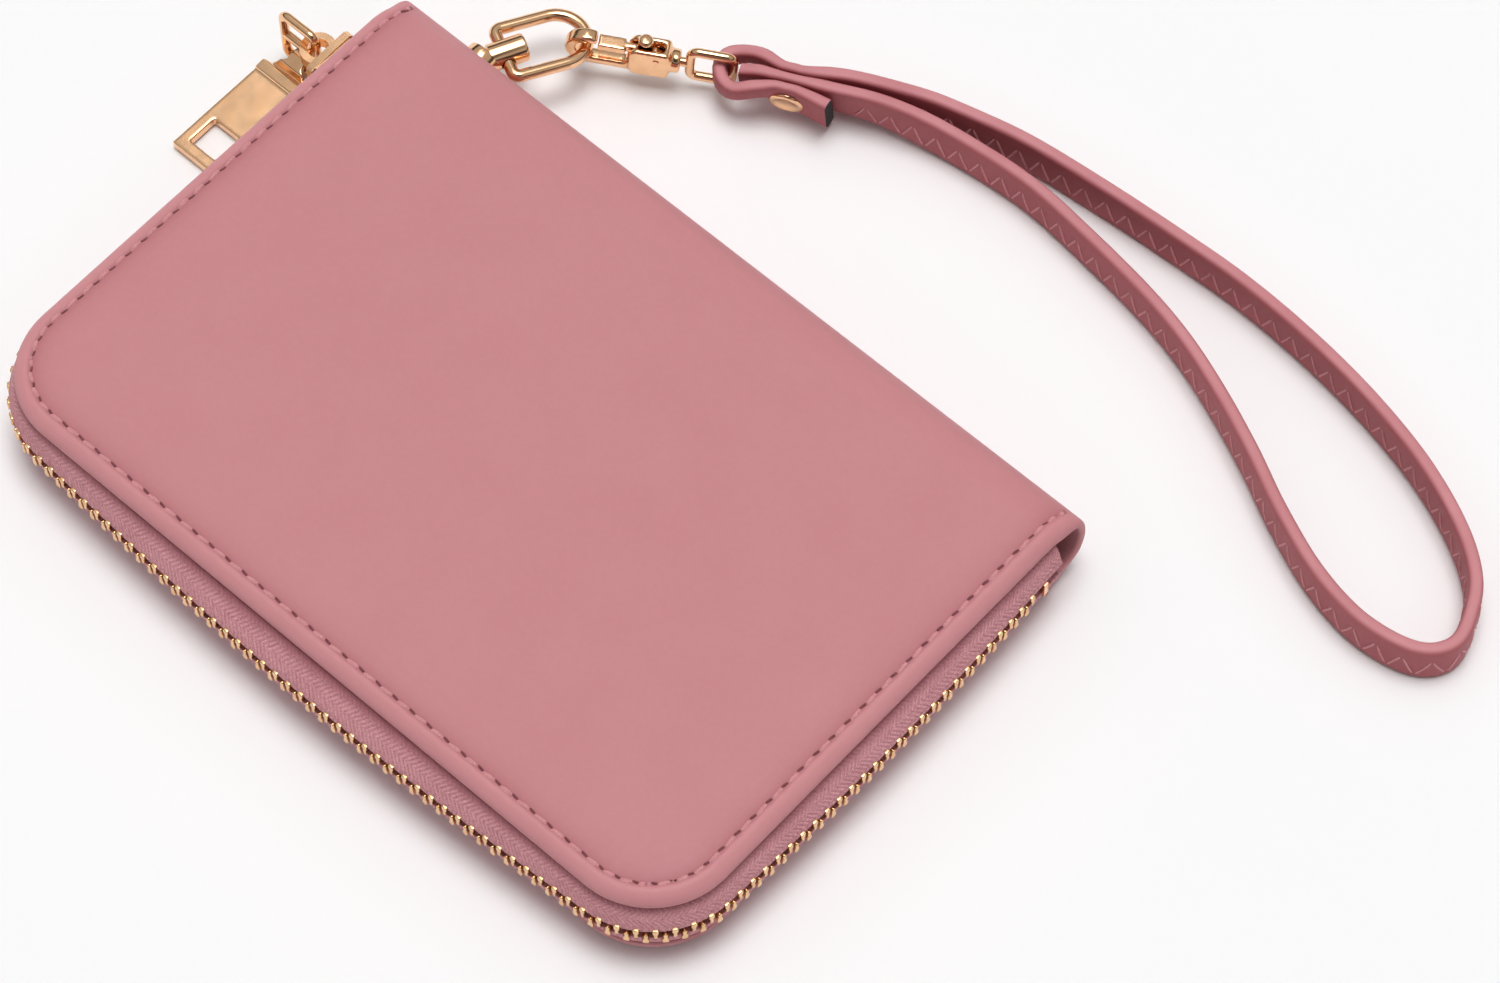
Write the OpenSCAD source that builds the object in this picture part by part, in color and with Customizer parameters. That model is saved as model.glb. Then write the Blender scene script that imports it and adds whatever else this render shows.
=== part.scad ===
// Zip-around bifold wallet with a wrist strap on a trigger clasp.
// It lies on its back cover: +X points at the spine, +Y along the spine to the slider's end, +Z up.

/* [Covers] */
// Length of the covers along the spine
wallet_l = 135; // [115:1:170]
// Flat width of a cover, from the zip's edge to where the spine starts to bend
cover_w = 83; // [76:1:110]
// Thickness of the closed wallet
wallet_t = 18; // [17:0.5:22]
// Distance from the origin to the middle of the spine's bend
spine_x = 38.5; // [30:0.5:50]
// Radius of the two rounded corners on the zip's side
corner_r = 14; // [10:0.5:18]
// Thickness of the outer leather
leather_t = 1.4; // [1:0.1:1.6]
// Thickness of the stiffening boards
board_t = 1.2; // [0.8:0.1:1.4]
// Thickness of the linings
lining_t = 0.6; // [0.4:0.1:0.8]
// Width of the rolled edge
rim_w = 3.4; // [2.6:0.1:4.5]
// Rounding of the rolled edge
rim_r = 1.1; // [0.5:0.1:1.2]
// Angle up the spine's bend where the front cover folds open
fold_angle = 50; // [46:1:60]

/* [Pockets] */
// Thickness of one pocket panel
pocket_t = 0.8; // [0.5:0.1:0.8]
// Length of a card pocket along the spine
card_pocket_l = 92; // [90:1:100]
// Depth of the outermost card pocket
card_pocket_w = 64; // [58:1:68]
// How far each card pocket stands back from the one below it
card_step = 8; // [6:0.5:10]
// Distance from the covers' ends to the banknote pocket
bill_pocket_end = 7.5; // [6:0.5:12]
// Distance from the spine's bend to the banknote pocket's mouth
bill_pocket_back = 8; // [6:0.5:12]
// Distance from the zip's edge to the pockets' sewn edge
pocket_inset = 5; // [4.5:0.5:8]

/* [Zip] */
// Distance from tooth to tooth on one tape
tooth_pitch = 2.5; // [2.4:0.05:3.2]
// Width of a tooth's head
tooth_head_w = 0.94; // [0.7:0.02:1]
// Width of a tooth's foot
tooth_foot_w = 1.2; // [1:0.05:1.4]
// Thickness of a tooth, square to the tape
tooth_t = 2; // [1.6:0.1:2.4]
// Height of a tooth's foot from the middle of the closed chain
tooth_foot_h = 2; // [1.6:0.1:2.2]
// How far a tooth's head reaches past the middle of the chain
tooth_reach = 0.65; // [0.4:0.05:0.8]
// Thickness of the woven tapes
tape_t = 0.6; // [0.4:0.05:0.7]
// How far the chain stands outside the covers' edge
chain_out = 0.8; // [0.5:0.1:1.2]
// Extra bulge of the chain in the middle of the long side
side_bulge = 2.2; // [0:0.1:3]
// Extra bulge of the chain on the short side away from the slider
end_bulge = 1; // [0:0.1:2]

/* [Slider and pull] */
// Distance from the spine's bend to the middle of the closed slider
slider_back = 6; // [5.5:0.5:10]
// Length of the slider
slider_l = 9; // [8:0.5:10]
// Height of the slider's plates
slider_h = 6.4; // [6.2:0.1:7]
// Thickness of the slider's plates
slider_plate_t = 1.2; // [0.8:0.1:1.4]
// Radius of the hole in the slider's bridge
bridge_r = 1.7; // [1.5:0.1:2]
// Wall of the slider's bridge
bridge_wall = 1.2; // [0.8:0.1:1.5]
// Height of the slider's bridge
bridge_h = 2.2; // [1.6:0.1:3]
// Wire radius of the pull's link
pull_wire_r = 0.75; // [0.5:0.05:0.8]
// Length of the pull's link between its end bars
pull_link_l = 6.8; // [6.5:0.1:9]
// Height of the pull's link between its side bars
pull_link_h = 10.2; // [9.8:0.1:11]
// Length of the pull tab from its eye to its free end
tab_l = 23.5; // [19:0.5:27]
// Width of the pull tab
tab_w = 9; // [7:0.5:10]
// Thickness of the pull tab
tab_t = 1.6; // [1.2:0.1:2]
// Width of the square window near the pull tab's free end
tab_window = 5.2; // [3:0.1:5.4]
// Frame between the pull tab's window and its free end
tab_frame = 2; // [1.2:0.1:3]

/* [Strap anchor and clasp] */
// Distance of the strap's post from the spine's end
post_end = 14.1; // [13.5:0.1:27]
// Angle between the post and the direction square to the spine
post_angle = 26; // [15:1:30]
// Radius of the post
post_r = 2.2; // [1.9:0.1:2.4]
// Length of the post outside the spine
post_l = 7.6; // [7:0.1:10]
// Wire radius of the strap's link
link_wire_r = 1; // [0.7:0.05:1.05]
// Half of the width of the strap's link, between wire middles
link_half_w = 4.6; // [4.2:0.1:5]
// Length of the straight legs of the strap's link
link_leg = 8.7; // [8.6:0.1:12]
// Angle by which the strap's link hangs below level
link_drop = 6.5; // [5:0.5:12]
// Direction of the clasp in plan, below the +X direction
clasp_angle = 57; // [45:1:62]
// Inner radius of the clasp's hook
hook_r = 1.8; // [1.6:0.05:1.9]
// Thickness of the clasp's hook round its inside
hook_wall = 1.6; // [1.2:0.1:1.8]
// Thickness of the clasp's hook across
hook_t = 2.2; // [1.8:0.1:2.6]
// Thickness of the clasp's collar across
collar_t = 3.6; // [3.4:0.1:4]
// Wire radius of the strap ring
ring_wire_r = 0.75; // [0.6:0.05:0.8]
// Length of the strap ring between its end bars
ring_l = 6.6; // [6.2:0.1:9]

/* [Wrist strap] */
// Width of the strap, which stands on its edge
strap_w = 8; // [7:0.1:10]
// Thickness of the strap
strap_t = 2.2; // [2:0.1:2.3]
// Thickness of the strap where the rivet squeezes it
pinch_t = 1.7; // [1.5:0.1:2]
// Direction of the strap's end in plan, below the +X direction
strap_angle = 65; // [60:1:70]
// Length of the strap's tail beyond the ring
tail_l = 16.2; // [15.8:0.1:18]
// Distance from the ring's bar to the rivet
rivet_x = 9.3; // [9:0.1:10]
// Radius of the rivet's cap
rivet_cap_r = 2.7; // [2:0.1:2.8]

/* [Hidden] */

$fn = 48;

leather = [0.80, 0.55, 0.56];
board = [0.55, 0.50, 0.45];
lining = [0.74, 0.50, 0.52];
tape = [0.62, 0.48, 0.50];
gold = [0.86, 0.68, 0.48];

// Clearance between pieces that move past each other
run_gap = 0.3;
// Clearance round a pin or a screw in its hole
pin_gap = 0.15;
// Clearance round a pressed pin
snug = 0.02;
// Overlap that carries a cut past a face
cut = 1;

// Covers
mid_z = wallet_t / 2;
spine_r = wallet_t / 2;
edge_x = spine_x - cover_w;
half_l = wallet_l / 2;
rim_d = leather_t + board_t;
lining_z = rim_d + lining_t;
lining_inset = 1.9;
bill_pocket_l = wallet_l - 2 * bill_pocket_end;
bill_pocket_w = cover_w - pocket_inset - bill_pocket_back;
board_gap = 0.2;
flat_gap = 1.5;
fold_gap_angle = 1;
spine_hole_r = 1.3;

// Path of the covers' edge, from the spine on the slider's side round to the spine again
run_l = cover_w - corner_r;
bend_l = corner_r * PI / 2;
side_l = wallet_l - 2 * corner_r;
path_l = 2 * run_l + 2 * bend_l + side_l;
bend_1 = run_l;
side_1 = run_l + bend_l;
bend_2 = side_1 + side_l;
run_2 = bend_2 + bend_l;
turn = 180 / PI / corner_r;

// Zip
tape_inset = 1.3;
tape_edge = mid_z - tooth_foot_h;
tape_steps = 120;
tape_end = path_l - 1.5;
slider_x = spine_x - slider_back;
slider_half = slider_l / 2;
chain_y = half_l + chain_out;
first_tooth = slider_back + 0.3;
first_free_tooth = slider_back + slider_half + 0.6;
last_tooth = path_l - 4.3;
stop_l = 0.9;
stop_h = 1.2;
bottom_stop_l = 1.4;
slider_clear = 0.6;

// Slider: the plates stand either side of the chain
plate_in = tooth_t / 2 + 0.4;
lip_reach = 0.95;
lip_t = 0.5;
lip_z = slider_h / 2 - 0.3 - lip_t;
bridge_y = chain_y + plate_in + slider_plate_t + bridge_r + 0.2;
pull_pivot_y = bridge_y + bridge_r - pull_wire_r - run_gap - pin_gap;
pull_bend = 1.2;
tab_eye_r = pull_wire_r + pin_gap;
tab_eye_out = tab_eye_r + 0.7;
tab_eye_l = 3.2;
tab_eye_shift = 0.5;
tab_rest = 0.3;
tab_eye_y = pull_pivot_y + pull_link_l / 2 + tab_eye_shift;
tab_eye_z = tab_rest + tab_eye_out;
pull_mid_z = tab_eye_z + pull_link_h / 2;
cross_bar_z = mid_z - bridge_h / 2 - run_gap - pull_wire_r;
tab_neck = 1.5;
tab_shoulder = 3.9;
tab_head = [[5.7, 0], [5.4, 0.5], [3.7, 0.7], [2.95, -0.4], [2.2, 0.8], [0.9, 1.3]];

// Post, link and clasp: the clasp's hook rides on the bow of the link
spine_face = spine_x + spine_r;
post_y = half_l - post_end;
flange_r = 2.9;
flange_l = 1.1;
screw_r = 0.7;
washer_r = 2.6;
washer_t = 0.5;
inner_r = spine_r - leather_t - lining_t;
washer_x = spine_x + sqrt(inner_r * inner_r - washer_r * washer_r) - 0.05;
pivot_s = 4;
pivot_x = spine_face + pivot_s * cos(post_angle);
pivot_y = post_y - pivot_s * sin(post_angle);
link_bend = 1.1;
bow_s = link_leg * cos(link_drop);
bow_x = pivot_x + bow_s * cos(post_angle);
bow_y = pivot_y - bow_s * sin(post_angle);
bow_z = mid_z - link_leg * sin(link_drop);
hook_turn = clasp_angle - post_angle;
hook_x = bow_x + link_half_w * cos(clasp_angle);
hook_y = bow_y - link_half_w * sin(clasp_angle);
hook_z = bow_z - link_half_w * cos(hook_turn) * sin(link_drop);
ring_floor = 1.9;
ring_h = strap_w + run_gap - ring_floor;
bar_z = ring_floor + ring_wire_r + ring_h / 2;
hook_out = hook_r + hook_wall;
collar_x = 7.4;
collar_l = 5.5;
collar_top = 3;
body_top = 2.2;
gate_low = 0.7;
gate_tip = 1.7;
gate_root = 6.2;
gate_pivot_x = 10.8;
gate_pivot_z = 1;
gate_slot_x = 11.9;
gate_slot_w = 1.5;
gate_slot_floor = -1;
gate_w = 1;
gate_pin_r = 0.4;
gate_bush_r = 0.75;
knob_x = 8.9;
knob_r = 1.2;
knob_z = collar_top + 0.7;
knob_h = 0.9;
boss_r = 1.9;
boss_x = collar_x + collar_l;
boss_l = 1.6;
stem_r = 0.75;
stem_head_r = 1.1;
stem_head_x = 12.35;
stem_head_l = 0.8;
ring_x = boss_x + boss_l + run_gap + ring_wire_r + 0.4;
bar_x = ring_x + ring_l;
clasp_slope = asin((hook_z - bar_z) / bar_x);
bar_plan = bar_x * cos(clasp_slope);
strap_x = hook_x + bar_plan * cos(clasp_angle);
strap_y = hook_y - bar_plan * sin(clasp_angle);

// Strap: layers lie side by side at the rivet, and the loop's points were chosen by hand
layer_gap = 0.15;
layer = strap_t + layer_gap;
pinch = (pinch_t + layer_gap) / layer;
pinch_l = 5.5;
stack = 1.5 * pinch_t + layer_gap;
notch_r = 6;
notch_h = ring_floor + 2 * ring_wire_r + 2 * run_gap;
strap_steps = 5;
near_end = ring_wire_r + 2 * run_gap;
seat_l = 2;
seat_rise = 0.03;
loop_points = [
    [6.8, -14.3], [10.1, -21.3], [12.4, -29.4], [13.8, -38.2], [14.3, -48], [13.2, -59.4],
    [11.3, -72.4], [8.9, -82.3], [5.2, -92.2], [0.9, -101.6], [-3.7, -110.5], [-8, -121],
    [-9.8, -130.9], [-8.3, -139.5], [-4, -143.1], [1.7, -141.7], [6.9, -138.3], [11.8, -131.5],
    [16.4, -121], [19.7, -108.4], [21.7, -95], [22.5, -82], [22.1, -69.5], [21.2, -55.5],
    [19.6, -41.1], [16.5, -29.2], [13.3, -21.2], [10.1, -14.6]
];
fold_points = [
    [rivet_x + seat_l, pinch + seat_rise], [rivet_x, pinch], [rivet_x - seat_l, pinch + seat_rise],
    [4.6, 1.22], [2, 1.48], [0.2, 1.36], [-1.35, 0.85], [-2, 0]
];
rivet_r = 0.85;
rivet_cap_h = 0.9;
burr_r = 1.9;
burr_t = 0.6;
burr_z = -stack - burr_t;

// Point and outward direction of the covers' edge at a distance along the path
function bend_at(a, y) = [
    edge_x + corner_r + corner_r * cos(a),
    y + corner_r * sin(a),
    a
];

function edge_at(s) =
    s < bend_1 ? [spine_x - s, half_l, 90]
    : s < side_1 ? bend_at(90 + (s - bend_1) * turn, half_l - corner_r)
    : s < bend_2 ? [edge_x, half_l - corner_r - (s - side_1), 180]
    : s < run_2 ? bend_at(180 + (s - bend_2) * turn, corner_r - half_l)
    : [edge_x + corner_r + (s - run_2), -half_l, 270];

// How far the chain stands outside the edge
function bulge_at(s) =
    s > side_1 && s < bend_2 ? side_bulge * sin(180 * (s - side_1) / side_l)
    : s > run_2 ? end_bulge * sin(180 * (s - run_2) / run_l)
    : 0;

function chain_at(s) = chain_out + bulge_at(s);

function offset_point(s, out, z) =
    let (e = edge_at(s))
    [e[0] + out * cos(e[2]), e[1] + out * sin(e[2]), z];

// Four corners of a tape's section: its sewn edge at the cover and its toothed edge
function tape_section(s, free_edge) = [
    offset_point(s, -tape_inset - tape_t / 2, rim_d),
    offset_point(s, -tape_inset + tape_t / 2, rim_d),
    offset_point(s, tape_out(s, free_edge) + tape_t / 2, free_edge),
    offset_point(s, tape_out(s, free_edge) - tape_t / 2, free_edge)
];

function tape_out(s, free_edge) =
    -tape_inset + (chain_at(s) + tape_inset) * (free_edge - rim_d) / (tape_edge - rim_d);

// Points between two points of the loop, on a curve through its neighbours
function spline(a, b, c, d, t) =
    0.5 * (2 * b + (c - a) * t + (2 * a - 5 * b + 4 * c - d) * t * t
    + (3 * b - a - 3 * c + d) * t * t * t);

strap_dir = [cos(strap_angle), -sin(strap_angle)];
strap_side = [sin(strap_angle), cos(strap_angle)];

function along(d, layers) = strap_dir * d + strap_side * layers * layer;

// From the ring's bar out round the loop, back round the bar, and out to the tail
strap_knots = concat(
    [along(near_end - layer, 0), along(near_end, 0), along(rivet_x, 0)],
    loop_points,
    [for (p = fold_points) along(p[0], p[1])],
    [for (k = [len(fold_points) - 2 : -1 : 0]) along(fold_points[k][0], -fold_points[k][1])],
    [along(tail_l, -1.3), along(tail_l + layer, -1.6)]
);

strap_path = concat(
    [
        for (i = [1 : len(strap_knots) - 3], k = [0 : strap_steps - 1])
            spline(strap_knots[i - 1], strap_knots[i], strap_knots[i + 1], strap_knots[i + 2],
                k / strap_steps)
    ],
    [strap_knots[len(strap_knots) - 2]]
);

// Share of the strap's thickness that the rivet's squeeze leaves at a point of its path
function squeeze_at(p) =
    let (d = min(1, abs(p * strap_dir - rivet_x) / pinch_l))
    1 - (1 - pinch_t / strap_t) * (1 - d * d) * (1 - d * d);

function unit(v) = v / norm(v);

function path_dir(p, i) = unit(p[min(i + 1, len(p) - 1)] - p[max(i - 1, 0)]);

function side_points(p, out) = [
    for (i = [0 : len(p) - 1])
        let (d = path_dir(p, i))
        p[i] + out * squeeze_at(p[i]) * [-d[1], d[0]]
];

function reversed(p) = [for (i = [len(p) - 1 : -1 : 0]) p[i]];

// A solid through a row of four-cornered sections
module section_loft(sections) {
    last = len(sections) - 1;
    sides = [
        for (i = [0 : last - 1], k = [0 : 3])
            let (a = 4 * i + k, b = 4 * i + (k + 1) % 4)
            each [[a, b, b + 4], [a, b + 4, a + 4]]
    ];
    caps = [[0, 3, 2], [0, 2, 1], [4 * last, 4 * last + 1, 4 * last + 2],
        [4 * last, 4 * last + 2, 4 * last + 3]];
    polyhedron([for (s = sections) each s], concat(sides, caps));
}

// Moves a piece of the back half to the same place in the front half
module in_front() {
    translate([0, 0, wallet_t])
        mirror([0, 0, 1])
            children();
}

// A flat layer with the covers' outline, standing in from their edge
module cover_layer(inset, z, t, spine_end) {
    r = corner_r - inset;
    x0 = edge_x + inset;
    y0 = half_l - inset;
    translate([x0 + r, -y0, z])
        cube([spine_end - x0 - r, 2 * y0, t]);
    translate([x0, r - y0, z])
        cube([r, 2 * (y0 - r), t]);
    for (side = [-1, 1])
        translate([x0 + r, side * (y0 - r), z])
            cylinder(r = r, h = t);
}

// Section of the rolled edge: x runs in from the edge, y up from the outer face
module rim_section() {
    arc = [for (k = [0 : 6]) 15 * k];
    polygon(concat(
        [for (a = arc) [rim_r - rim_r * cos(a), rim_r - rim_r * sin(a)]],
        [[rim_w, 0], [rim_w, rim_d]],
        [for (a = arc) [rim_r - rim_r * sin(a), rim_d - rim_r + rim_r * cos(a)]]
    ));
}

module rim_straight(l) {
    rotate([90, 0, 0])
        linear_extrude(height = l, center = true)
            rim_section();
}

module rim_corner() {
    rotate_extrude(angle = 90)
        translate([corner_r, 0])
            mirror([1, 0])
                rim_section();
}

// Rolled edge round the three zipped sides
module rolled_edge() {
    translate([edge_x, 0, 0])
        rim_straight(side_l);
    for (side = [-1, 1])
        translate([edge_x + corner_r + run_l / 2, side * half_l, 0])
            rotate([0, 0, -90 * side])
                rim_straight(run_l);
    translate([edge_x + corner_r, half_l - corner_r, 0])
        rotate([0, 0, 90])
            rim_corner();
    translate([edge_x + corner_r, corner_r - half_l, 0])
        rotate([0, 0, 180])
            rim_corner();
}

// Part of the spine's bend between two angles
module spine_arc(r, t, from, to) {
    translate([spine_x, half_l, mid_z])
        rotate([90, 0, 0])
            rotate([0, 0, from])
                rotate_extrude(angle = to - from)
                    translate([r - t, 0])
                        square([t, wallet_l]);
}

module flat_cover() {
    cover_layer(rim_w, 0, leather_t, spine_x);
    rolled_edge();
}

// Hole through the spine for the post's shank
module spine_hole() {
    translate([spine_x, post_y, mid_z])
        rotate([0, 90, 0])
            cylinder(r = spine_hole_r, h = spine_r + cut);
}

module back_cover() {
    color(leather) {
        flat_cover();
        difference() {
            spine_arc(spine_r, leather_t, -90, fold_angle - fold_gap_angle);
            spine_hole();
        }
    }
}

module front_cover() {
    color(leather) {
        in_front()
            flat_cover();
        spine_arc(spine_r, leather_t, fold_angle + fold_gap_angle, 90);
    }
}

module cover_board() {
    cover_layer(rim_w + board_gap, leather_t, board_t, spine_x - flat_gap);
}

module back_board() {
    color(board)
        cover_board();
}

module front_board() {
    color(board)
        in_front()
            cover_board();
}

module cover_lining() {
    cover_layer(lining_inset, rim_d, lining_t, spine_x - flat_gap);
}

module back_lining() {
    color(lining)
        cover_lining();
}

module front_lining() {
    color(lining)
        in_front()
            cover_lining();
}

module spine_lining() {
    color(lining)
        difference() {
            spine_arc(spine_r - leather_t, lining_t, -90, fold_angle - 2 * fold_gap_angle);
            spine_hole();
        }
}

// A pocket panel: layers counts the panels between it and the lining
module pocket(l, w, layers) {
    translate([edge_x + pocket_inset, -l / 2, lining_z + layers * pocket_t])
        cube([w, l, pocket_t]);
}

module card_pocket(index, layers) {
    pocket(card_pocket_l, card_pocket_w - (index - 1) * card_step, layers);
}

module bill_pocket() {
    color(lining)
        pocket(bill_pocket_l, bill_pocket_w, 0);
}

module back_card_pocket(index) {
    color(leather)
        card_pocket(index, index);
}

module front_card_pocket(index) {
    color(leather)
        in_front()
            card_pocket(index, index - 1);
}

module zip_tape(free_edges) {
    section_loft([
        for (k = [0 : tape_steps])
            let (s = tape_end * k / tape_steps)
            tape_section(s, free_edges[k])
    ]);
}

module lower_zip_tape() {
    color(tape)
        zip_tape([for (k = [0 : tape_steps]) tape_edge]);
}

// The upper tape stays above the slider, which stands on the lower tape
module upper_zip_tape() {
    slider_edge = mid_z - slider_h / 2 - slider_clear;
    edges = [
        for (k = [0 : tape_steps])
            tape_end * k / tape_steps < first_free_tooth ? slider_edge : tape_edge
    ];
    color(tape)
        in_front()
            zip_tape(edges);
}

// A tooth on its tape's edge, head up, with the chain's middle at its origin
module tooth() {
    half_foot = tooth_foot_w / 2;
    half_head = tooth_head_w / 2;
    side = [
        [half_foot, -tooth_foot_h], [half_foot, -tooth_foot_h / 2], [half_head - 0.07, -0.5],
        [half_head, 0.2], [half_head - 0.17, tooth_reach]
    ];
    rotate([90, 0, 90])
        linear_extrude(height = tooth_t, center = true)
            polygon(concat(side, reversed([for (p = side) [-p[0], p[1]]])));
}

// Teeth along the path, from one distance to another
module tooth_row(from, to, phase) {
    first = ceil(from / tooth_pitch - phase);
    last = floor(to / tooth_pitch - phase);
    for (k = [first : last]) {
        s = (k + phase) * tooth_pitch;
        e = edge_at(s);
        translate(offset_point(s, chain_at(s), mid_z))
            rotate([0, 0, e[2]])
                tooth();
    }
}

module lower_run_teeth() {
    color(gold)
        tooth_row(first_tooth, bend_1, 0);
}

module lower_teeth() {
    color(gold)
        tooth_row(bend_1 + snug, last_tooth, 0);
}

module upper_run_teeth() {
    color(gold)
        in_front()
            tooth_row(first_free_tooth, bend_1, 0.5);
}

module upper_teeth() {
    color(gold)
        in_front()
            tooth_row(bend_1 + snug, last_tooth, 0.5);
}

// A stop on a tape's edge beyond the slider
module top_stop(edge) {
    s = slider_back - slider_half - run_gap - stop_l / 2;
    translate(offset_point(s, tape_out(s, edge), edge + stop_h / 2))
        cube([stop_l, tooth_t, stop_h], center = true);
}

module lower_top_stop() {
    color(gold)
        top_stop(tape_edge);
}

module upper_top_stop() {
    color(gold)
        in_front()
            top_stop(mid_z - slider_h / 2 - slider_clear);
}

// The stop at the zip's other end, which joins the two tapes
module bottom_stop() {
    s = tape_end - bottom_stop_l / 2;
    h = 2 * tooth_foot_h - run_gap;
    color(gold)
        translate(offset_point(s, chain_at(s), tape_edge + h / 2))
            cube([bottom_stop_l, tooth_t + run_gap, h], center = true);
}

// Outline of a slider plate: x along the chain, y up, with the wide mouth at the right
module slider_plate() {
    h = slider_h / 2;
    polygon([
        [-slider_half, -h + 0.5], [-slider_half + 0.6, -h + 0.3], [0, -h], [slider_half - 0.7, -h],
        [slider_half, -h + 0.6], [slider_half - 0.9, 0], [slider_half, h - 0.6],
        [slider_half - 0.7, h], [0, h], [-slider_half + 0.6, h - 0.3], [-slider_half, h - 0.5]
    ]);
}

// Raises an outline on the chain's side, from one distance off its middle to another
module off_chain(from, to) {
    translate([slider_x, chain_y + to, mid_z])
        rotate([90, 0, 0])
            linear_extrude(height = to - from)
                children();
}

module zip_slider() {
    outer = plate_in + slider_plate_t;
    color(gold) {
        off_chain(plate_in, outer)
            slider_plate();
        off_chain(-outer, -plate_in)
            slider_plate();
        off_chain(-plate_in, plate_in)
            polygon([[0.6, 0], [2.2, 1.1], [3.4, 0], [2.2, -1.1]]);
        for (side = [-1, 1])
            off_chain(plate_in - lip_reach, plate_in)
                translate([-slider_half + 0.8, side * (lip_z + lip_t / 2) - lip_t / 2])
                    square([slider_l - 1.6, lip_t]);
        difference() {
            translate([slider_x, bridge_y, mid_z - bridge_h / 2])
                cylinder(r = bridge_r + bridge_wall, h = bridge_h);
            translate([slider_x, bridge_y, mid_z - bridge_h / 2 - cut])
                cylinder(r = bridge_r, h = bridge_h + 2 * cut);
            translate([slider_x - slider_l, chain_y, mid_z - slider_h / 2])
                cube([2 * slider_l, outer, slider_h]);
        }
    }
}

// A closed wire loop in the plane of X and Z, with its first bar through the origin
module wire_loop(l, h, bend, r) {
    for (x = [0, l])
        translate([x, 0, bend - h / 2])
            cylinder(r = r, h = h - 2 * bend);
    for (z = [-h / 2, h / 2])
        translate([bend, 0, z])
            rotate([0, 90, 0])
                cylinder(r = r, h = l - 2 * bend);
    for (corner = [[l - bend, h / 2 - bend, 0], [bend, h / 2 - bend, 90],
        [bend, bend - h / 2, 180], [l - bend, bend - h / 2, 270]])
        translate([corner[0], 0, corner[1]])
            rotate([90, 0, 0])
                rotate([0, 0, corner[2]])
                    rotate_extrude(angle = 90)
                        translate([bend, 0])
                            circle(r = r);
}

// The pull's link hangs in the slider's bridge, with a bar under the bridge
module pull_link() {
    color(gold) {
        translate([slider_x, pull_pivot_y, pull_mid_z])
            rotate([0, 0, 90])
                wire_loop(pull_link_l, pull_link_h, pull_bend, pull_wire_r);
        translate([slider_x, pull_pivot_y, cross_bar_z])
            rotate([-90, 0, 0])
                cylinder(r = pull_wire_r, h = pull_link_l);
    }
}

// The pull tab: x runs from its eye to its free end, and z is up from the eye's middle
module tab_shape() {
    top = tab_t - tab_eye_out;
    window_x = tab_l - tab_frame - tab_window;
    difference() {
        union() {
            rotate([90, 0, 0])
                cylinder(r = tab_eye_out, h = tab_eye_l, center = true);
            intersection() {
                rotate([90, 0, 0])
                    linear_extrude(height = tab_w, center = true)
                        polygon(concat(
                            [[0, -tab_eye_out], [tab_l, -tab_eye_out], [tab_l, top]],
                            [[tab_head[0][0], top]],
                            [for (k = [1 : len(tab_head) - 1]) tab_head[k]],
                            [[0, tab_eye_out]]
                        ));
                linear_extrude(height = 4 * tab_eye_out, center = true)
                    polygon([
                        [0, -tab_eye_l / 2], [tab_neck, -tab_eye_l / 2],
                        [tab_shoulder, -tab_w / 2], [tab_l, -tab_w / 2], [tab_l, tab_w / 2],
                        [tab_shoulder, tab_w / 2], [tab_neck, tab_eye_l / 2], [0, tab_eye_l / 2]
                    ]);
            }
        }
        rotate([90, 0, 0])
            cylinder(r = tab_eye_r, h = 2 * tab_w, center = true);
        translate([window_x, -tab_window / 2, -tab_eye_out - cut])
            cube([tab_window, tab_window, tab_t + 2 * cut]);
    }
}

module pull_tab() {
    color(gold)
        translate([slider_x, tab_eye_y, tab_eye_z])
            rotate([0, 0, 180])
                tab_shape();
}

// Puts a piece on the post: x along the post, from the spine's face
module on_post() {
    translate([spine_face, post_y, mid_z])
        rotate([0, 0, -post_angle])
            children();
}

module post_barrel() {
    bead = 0.5;
    rotate([0, 90, 0])
        rotate_extrude()
            polygon([
                [0, 0], [post_r - 0.35, 0], [post_r - 0.35, flange_l + 0.4],
                [post_r, flange_l + 0.55], [post_r, post_l - bead],
                [post_r - 0.3 * bead, post_l - 0.3 * bead], [post_r - bead, post_l], [0, post_l]
            ]);
}

module anchor_post() {
    color(gold)
        difference() {
            union() {
                on_post()
                    post_barrel();
                translate([spine_x, post_y, mid_z])
                    rotate([0, 90, 0])
                        cylinder(r = flange_r, h = spine_r + flange_l);
            }
            translate([spine_x, 0, mid_z])
                rotate([90, 0, 0])
                    cylinder(r = spine_r, h = wallet_l, center = true);
            on_post()
                translate([pivot_s, 0, 0])
                    rotate([90, 0, 0])
                        cylinder(r = link_wire_r + pin_gap, h = 4 * post_r, center = true);
            translate([spine_x, post_y, mid_z])
                rotate([0, 90, 0])
                    cylinder(r = screw_r + snug, h = spine_r + flange_l / 2);
        }
}

module anchor_washer() {
    color(gold)
        translate([washer_x - washer_t, post_y, mid_z])
            rotate([0, 90, 0])
                difference() {
                    cylinder(r = washer_r, h = washer_t);
                    translate([0, 0, -cut])
                        cylinder(r = screw_r + pin_gap, h = washer_t + 2 * cut);
                }
}

module anchor_screw() {
    head_r = 1.9;
    head_h = 0.9;
    color(gold)
        translate([washer_x - washer_t, post_y, mid_z])
            rotate([0, 90, 0]) {
                translate([0, 0, -head_h])
                    cylinder(r = head_r, h = head_h);
                cylinder(r = screw_r, h = spine_face + flange_l / 4 - washer_x + washer_t);
            }
}

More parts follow.
